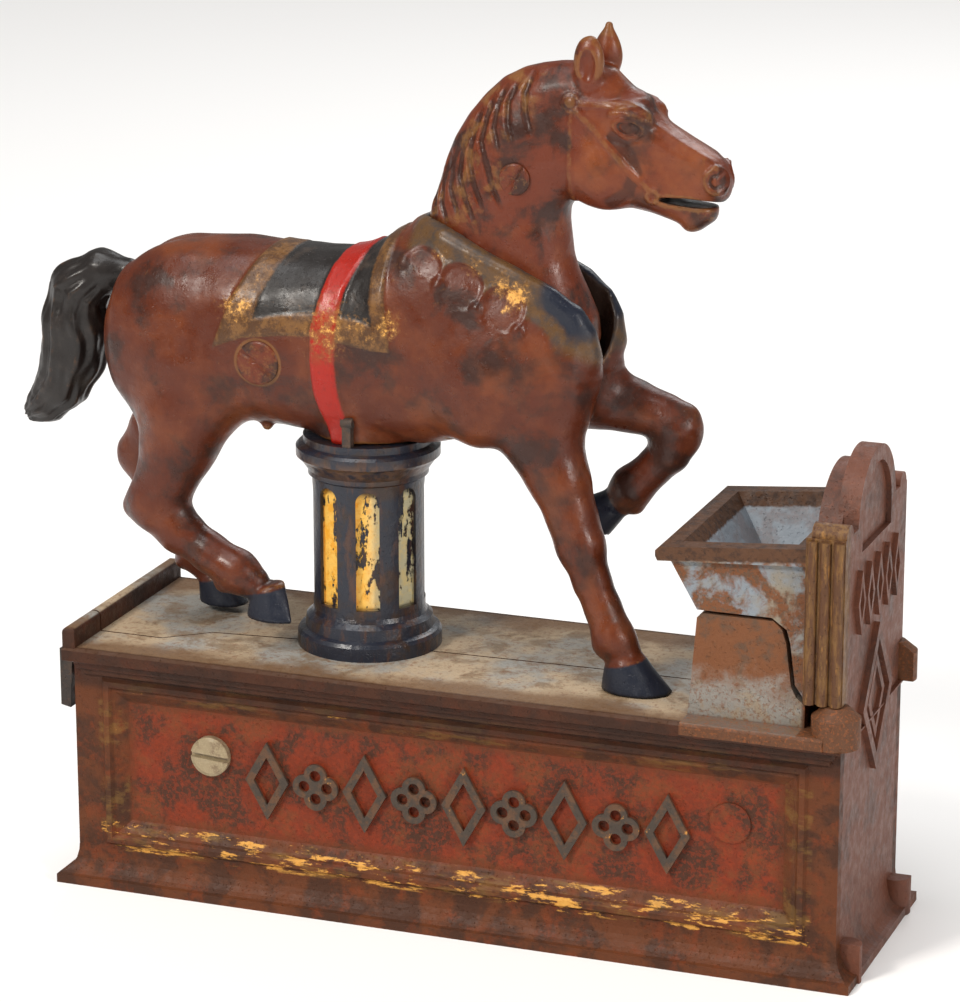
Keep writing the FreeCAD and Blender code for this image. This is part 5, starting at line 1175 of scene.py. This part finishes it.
def endMaterial():
    kit = Painter(startMaterial("endEnamel"))
    _, py, pz = kit.place()
    aged = kit.stains(0.9, 0.48, 23.0)
    colour = kit.shade(aged["Stain"], "endPink", "endDark")
    colour = kit.shade(aged["Fleck"] * 0.35, colour, "endRed")
    front = py.fade(-19.5, -22.0) * pz.fade(57.0, 60.0)
    tall = kit.stretch((1.0, 1.0, 0.16))
    rib = kit.shade(kit.patch(0.8, 5.0, 0.7, 0.42, 0.6, at=tall), "ribDark", "ribGilt")
    rib = kit.shade(kit.patch(1.2, 5.0, 0.7, 0.58, 0.66, 0.0, 0.7, at=tall), rib, "ribGold")
    colour = kit.shade(front * 0.9, colour, rib)
    roughness = kit.patch(0.4, 5.0, 0.65, 0.3, 0.7, 0.4, 0.62)
    return kit.finish(colour, roughness, 0.24)


materials = {
    "body": horseMaterial("horseBodyEnamel", False),
    "head": horseMaterial("horseHeadEnamel", True),
    "tail": tailMaterial(),
    "case": caseMaterial(),
    "seat": seatMaterial(),
    "hopper": hopperMaterial(),
    "column": columnMaterial(),
    "end": endMaterial(),
    "iron": mixedMaterial("bareIron", "ironDark", "ironBrown", "ironRust", 0.5, 0.45, 2.0),
    "brass": mixedMaterial("tarnishedScrew", "brassDull", "brassDark", "brassBright", 0.25, 0.5, 9.0, (0.3, 0.5),
                           0.12),
    "wire": mixedMaterial("springWire", "wireGrey", "wireDark", "wireBright", 0.3, 0.5, 13.0, (0.25, 0.45), 0.06,
                          0.4),
    "screw": mixedMaterial("screwEnamel", "horse", "horseDark", "bronze", 0.6, 0.5, 3.0, (0.34, 0.5), 0.1, 0.35, 0.1),
}


def slottedDisc(name, centre, radius, thick, turn, dome, slotWidth, slotDepth, rings=7, around=48):
    verts, faces = [], []
    profile = []
    for i in range(rings + 1):
        r = radius * i / rings
        profile.append((r, thick + dome * (1 - (r / radius) ** 2)))
    profile.append((radius + 0.12, thick - 0.25))
    profile.append((radius + 0.12, 0.0))
    for r, h in profile[1:]:
        for j in range(around):
            a = 2 * math.pi * j / around
            u, v = r * math.cos(a), r * math.sin(a)
            across = -u * math.sin(turn) + v * math.cos(turn)
            wall = min(1.0, max(0.0, (abs(across) - slotWidth * 0.42) / (slotWidth * 0.16)))
            sink = slotDepth * (1 - wall) if h > 0 and r <= radius else 0.0
            verts.append((centre[0] + u, centre[1] - h + sink, centre[2] + v))
    top = len(verts)
    verts.append((centre[0], centre[1] - thick - dome + slotDepth, centre[2]))
    bottom = len(verts)
    verts.append((centre[0], centre[1], centre[2]))
    count = len(profile) - 1
    for i in range(count - 1):
        for j in range(around):
            k = (j + 1) % around
            faces.append((i * around + j, i * around + k, (i + 1) * around + k, (i + 1) * around + j))
    for j in range(around):
        k = (j + 1) % around
        faces.append((top, k, j))
        faces.append((bottom, (count - 1) * around + j, (count - 1) * around + k))
    piece = makeObject(name, np.array(verts), faces)
    work = bmesh.new()
    work.from_mesh(piece.data)
    bmesh.ops.recalc_face_normals(work, faces=work.faces[:])
    work.to_mesh(piece.data)
    work.free()
    return piece


flankScrew = {"centre": (-46.0, -16.05, 121.7), "radius": 4.75, "thick": 0.45, "turn": math.radians(-35),
              "dome": 0.25, "slotWidth": 0.8, "slotDepth": 0.35}
flankDisc = slottedDisc("flankScrewHead", **flankScrew)
neckScrew = {"centre": (9.9, -8.15, 164.4), "radius": 3.3, "thick": 0.35, "turn": math.radians(59),
             "dome": 0.12, "slotWidth": 0.8, "slotDepth": 0.45}
neckDisc = slottedDisc("neckScrewHead", **neckScrew)


def add(tree, kind, inputs):  # a node of which only the first output is wanted
    return put(tree, kind, inputs).outputs[0]


def newShape(name, inputs):
    tree = bpy.data.node_groups.new(name, "GeometryNodeTree")
    for label, value in inputs.items():
        socket = tree.interface.new_socket(name=label, in_out="INPUT", socket_type="NodeSocketFloat")
        socket.default_value = value
    tree.interface.new_socket(name="Geometry", in_out="OUTPUT", socket_type="NodeSocketGeometry")
    return tree, tree.nodes.new("NodeGroupInput").outputs, tree.nodes.new("NodeGroupOutput")


def closeShape(tree, result, geometry, material):
    whole = add(tree, "GeometryNodeRealizeInstances", {0: geometry})
    painted = put(tree, "GeometryNodeSetMaterial", {"Geometry": whole})
    painted.inputs["Material"].default_value = material
    tree.links.new(painted.outputs[0], result.inputs[0])


def growShape(name, tree, settings, smooth):  # runs the tree on an empty mesh and keeps what it makes
    carrier = makeObject(name + "Source", [], [])
    modifier = carrier.modifiers.new("shape", "NODES")
    modifier.node_group = tree
    for item in tree.interface.items_tree:
        if item.in_out == "INPUT" and item.name in settings:
            modifier[item.identifier] = settings[item.name]
    bpy.context.view_layer.update()
    ready = carrier.evaluated_get(bpy.context.evaluated_depsgraph_get())
    mesh = bpy.data.meshes.new_from_object(ready)
    mesh.name = name
    mesh.polygons.foreach_set("use_smooth", [smooth] * len(mesh.polygons))
    piece = bpy.data.objects.new(name, mesh)
    bpy.context.collection.objects.link(piece)
    bpy.data.objects.remove(carrier)
    print(name, len(mesh.polygons))
    return piece


spring = {
    "Turns": 8.0, "Height": 0.0361, "Mean Radius": 0.0042, "Wire Radius": 0.00055, "Foot": 0.06385, "Centre": -0.027,
}


def buildSpring():
    tree, given, result = newShape("coiledSpring", spring)
    coil = add(tree, "GeometryNodeCurveSpiral", {
        "Resolution": 40, "Rotations": given["Turns"], "Height": given["Height"],
        "Start Radius": given["Mean Radius"], "End Radius": given["Mean Radius"]})
    ring = add(tree, "GeometryNodeCurvePrimitiveCircle", {"Resolution": 12, "Radius": given["Wire Radius"]})
    swept = add(tree, "GeometryNodeCurveToMesh", {"Curve": coil, "Profile Curve": ring, "Fill Caps": True})
    spot = add(tree, "ShaderNodeCombineXYZ", {0: given["Centre"], 2: given["Foot"]})
    moved = add(tree, "GeometryNodeTransform", {"Geometry": swept, "Translation": spot})
    closeShape(tree, result, moved, materials["wire"])
    return growShape("springCoil", tree, spring, True)


cornerScrews = {
    "Length Between": 0.156, "Width Between": 0.035, "Shank Radius": 0.0013, "Nut Radius": 0.0025, "Nut Height": 0.002,
}


def buildFloorScrews():
    tree, given, result = newShape("cornerScrews", cornerScrews)
    corners = add(tree, "GeometryNodeMeshGrid", {
        "Size X": given["Length Between"], "Size Y": given["Width Between"], "Vertices X": 2, "Vertices Y": 2})
    shank = add(tree, "GeometryNodeMeshCylinder", {
        "Vertices": 24, "Radius": given["Shank Radius"], "Depth": 0.0058})
    nut = add(tree, "GeometryNodeMeshCylinder", {
        "Vertices": 6, "Radius": given["Nut Radius"], "Depth": given["Nut Height"]})
    raised = add(tree, "GeometryNodeTransform", {"Geometry": shank, "Translation": (0, 0, 0.0031)})
    seated = add(tree, "GeometryNodeTransform", {"Geometry": nut, "Translation": (0, 0, 0.00301)})
    joined = tree.nodes.new("GeometryNodeJoinGeometry")
    tree.links.new(seated, joined.inputs[0])
    tree.links.new(raised, joined.inputs[0])
    copies = add(tree, "GeometryNodeInstanceOnPoints", {"Points": corners, "Instance": joined.outputs[0]})
    closeShape(tree, result, copies, materials["iron"])
    return growShape("floorScrewSet", tree, cornerScrews, False)


springCoil = buildSpring()
floorScrews = buildFloorScrews()


def dress(piece, material):
    piece.data.materials.clear()
    piece.data.materials.append(material)


placed = [
    (head, materials["head"], "head", ("head_near", "head_far"), "horse_brown"),
    (bodyNear, materials["body"], "bank", ("body_near",), "horse_brown"),
    (bodyFar, materials["body"], "bank", ("body_far",), "horse_brown"),
    (tail, materials["tail"], "bank", ("tail",), "tail_black"),
    (flankDisc, materials["screw"], "bank", ("flank_screw",), "horse_brown"),
    (neckDisc, materials["screw"], "head", ("neck_screw",), "screw_steel"),
    (springCoil, materials["wire"], "bank", ("return_spring",), "spring_steel"),
    (floorScrews, materials["iron"], "bank", ("floor_screws",), "screw_steel"),
]
for piece, material, body, covered, colourSlot in placed:
    dress(piece, material)
    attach(piece, body)
    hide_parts(*covered)
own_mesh(springCoil)

finishes = {
    "case": ("front_case", "rear_case", "left_end_plate", "case_screw_right"), "end": ("end_plate",),
    "seat": ("manger_seat",), "hopper": ("hopper",), "column": ("column",), "brass": ("case_screw_left",),
    "iron": ("trap_door", "trap_pin", "trap_link", "floor_plate", "coin_door", "column_screws", "girth_lug",
             "neck_arm", "neck_pivot_pin", "push_rod", "lever", "lever_pin"),
}
for finish, covered in finishes.items():
    for name in covered:
        paintedSlots = nodes[name].data.materials
        if not paintedSlots:
            paintedSlots.append(materials[finish])
        for index in range(len(paintedSlots)):
            paintedSlots[index] = materials[finish]
print("materials set")


studio = {
    "floor": (0.88, 0.87, 0.86), "world": 0.26, "aim": (0, 0, 0.09), "sunSpread": 35, "sunPower": 1.6,
    "sunTilt": (14, -8, 0),
    "lamps": [  # name, place, size, power and colour
        ("keyLamp", (-0.45, -0.95, 0.85), 0.22, 10.5, (1.0, 0.95, 0.88)),
        ("sideLamp", (1.00, -0.50, 0.45), 0.25, 5.5, (1.0, 0.96, 0.92)),
        ("backLamp", (0.1, 0.9, 0.9), 0.6, 5.0, (0.96, 0.98, 1.0)),
    ],
}


def buildStudio():
    size = 4.0
    mesh = bpy.data.meshes.new("floorSheet")
    mesh.from_pydata([(-size, -size, 0), (size, -size, 0), (size, size, 0), (-size, size, 0)], [], [(0, 1, 2, 3)])
    floor = bpy.data.objects.new("floorSheet", mesh)
    bpy.context.collection.objects.link(floor)
    material = startMaterial("floorPale")
    inputs = {"Base Color": (*studio["floor"], 1), "Roughness": 0.9}
    shader = put(material.node_tree, "ShaderNodeBsdfPrincipled", inputs)
    put(material.node_tree, "ShaderNodeOutputMaterial", {0: shader.outputs[0]})
    mesh.materials.append(material)
    world = bpy.data.worlds.new("studioWorld")
    world.use_nodes = True
    sky = world.node_tree.nodes["Background"]
    sky.inputs[0].default_value = (1.0, 0.99, 0.97, 1)
    sky.inputs[1].default_value = studio["world"]
    bpy.context.scene.world = world
    for name, place, size, power, tint in studio["lamps"]:
        data = bpy.data.lights.new(name, "AREA")
        data.size = size
        data.energy = power
        data.color = tint
        lamp = bpy.data.objects.new(name, data)
        bpy.context.collection.objects.link(lamp)
        lamp.location = place
        lamp.rotation_euler = (Vector(place) - Vector(studio["aim"])).to_track_quat("Z", "Y").to_euler()
    data = bpy.data.lights.new("topLight", "SUN")
    data.angle, data.energy = math.radians(studio["sunSpread"]), studio["sunPower"]
    top = bpy.data.objects.new("topLight", data)
    top.rotation_euler = [math.radians(angle) for angle in studio["sunTilt"]]
    bpy.context.collection.objects.link(top)


buildStudio()
bpy.context.scene.view_settings.view_transform = "Standard"
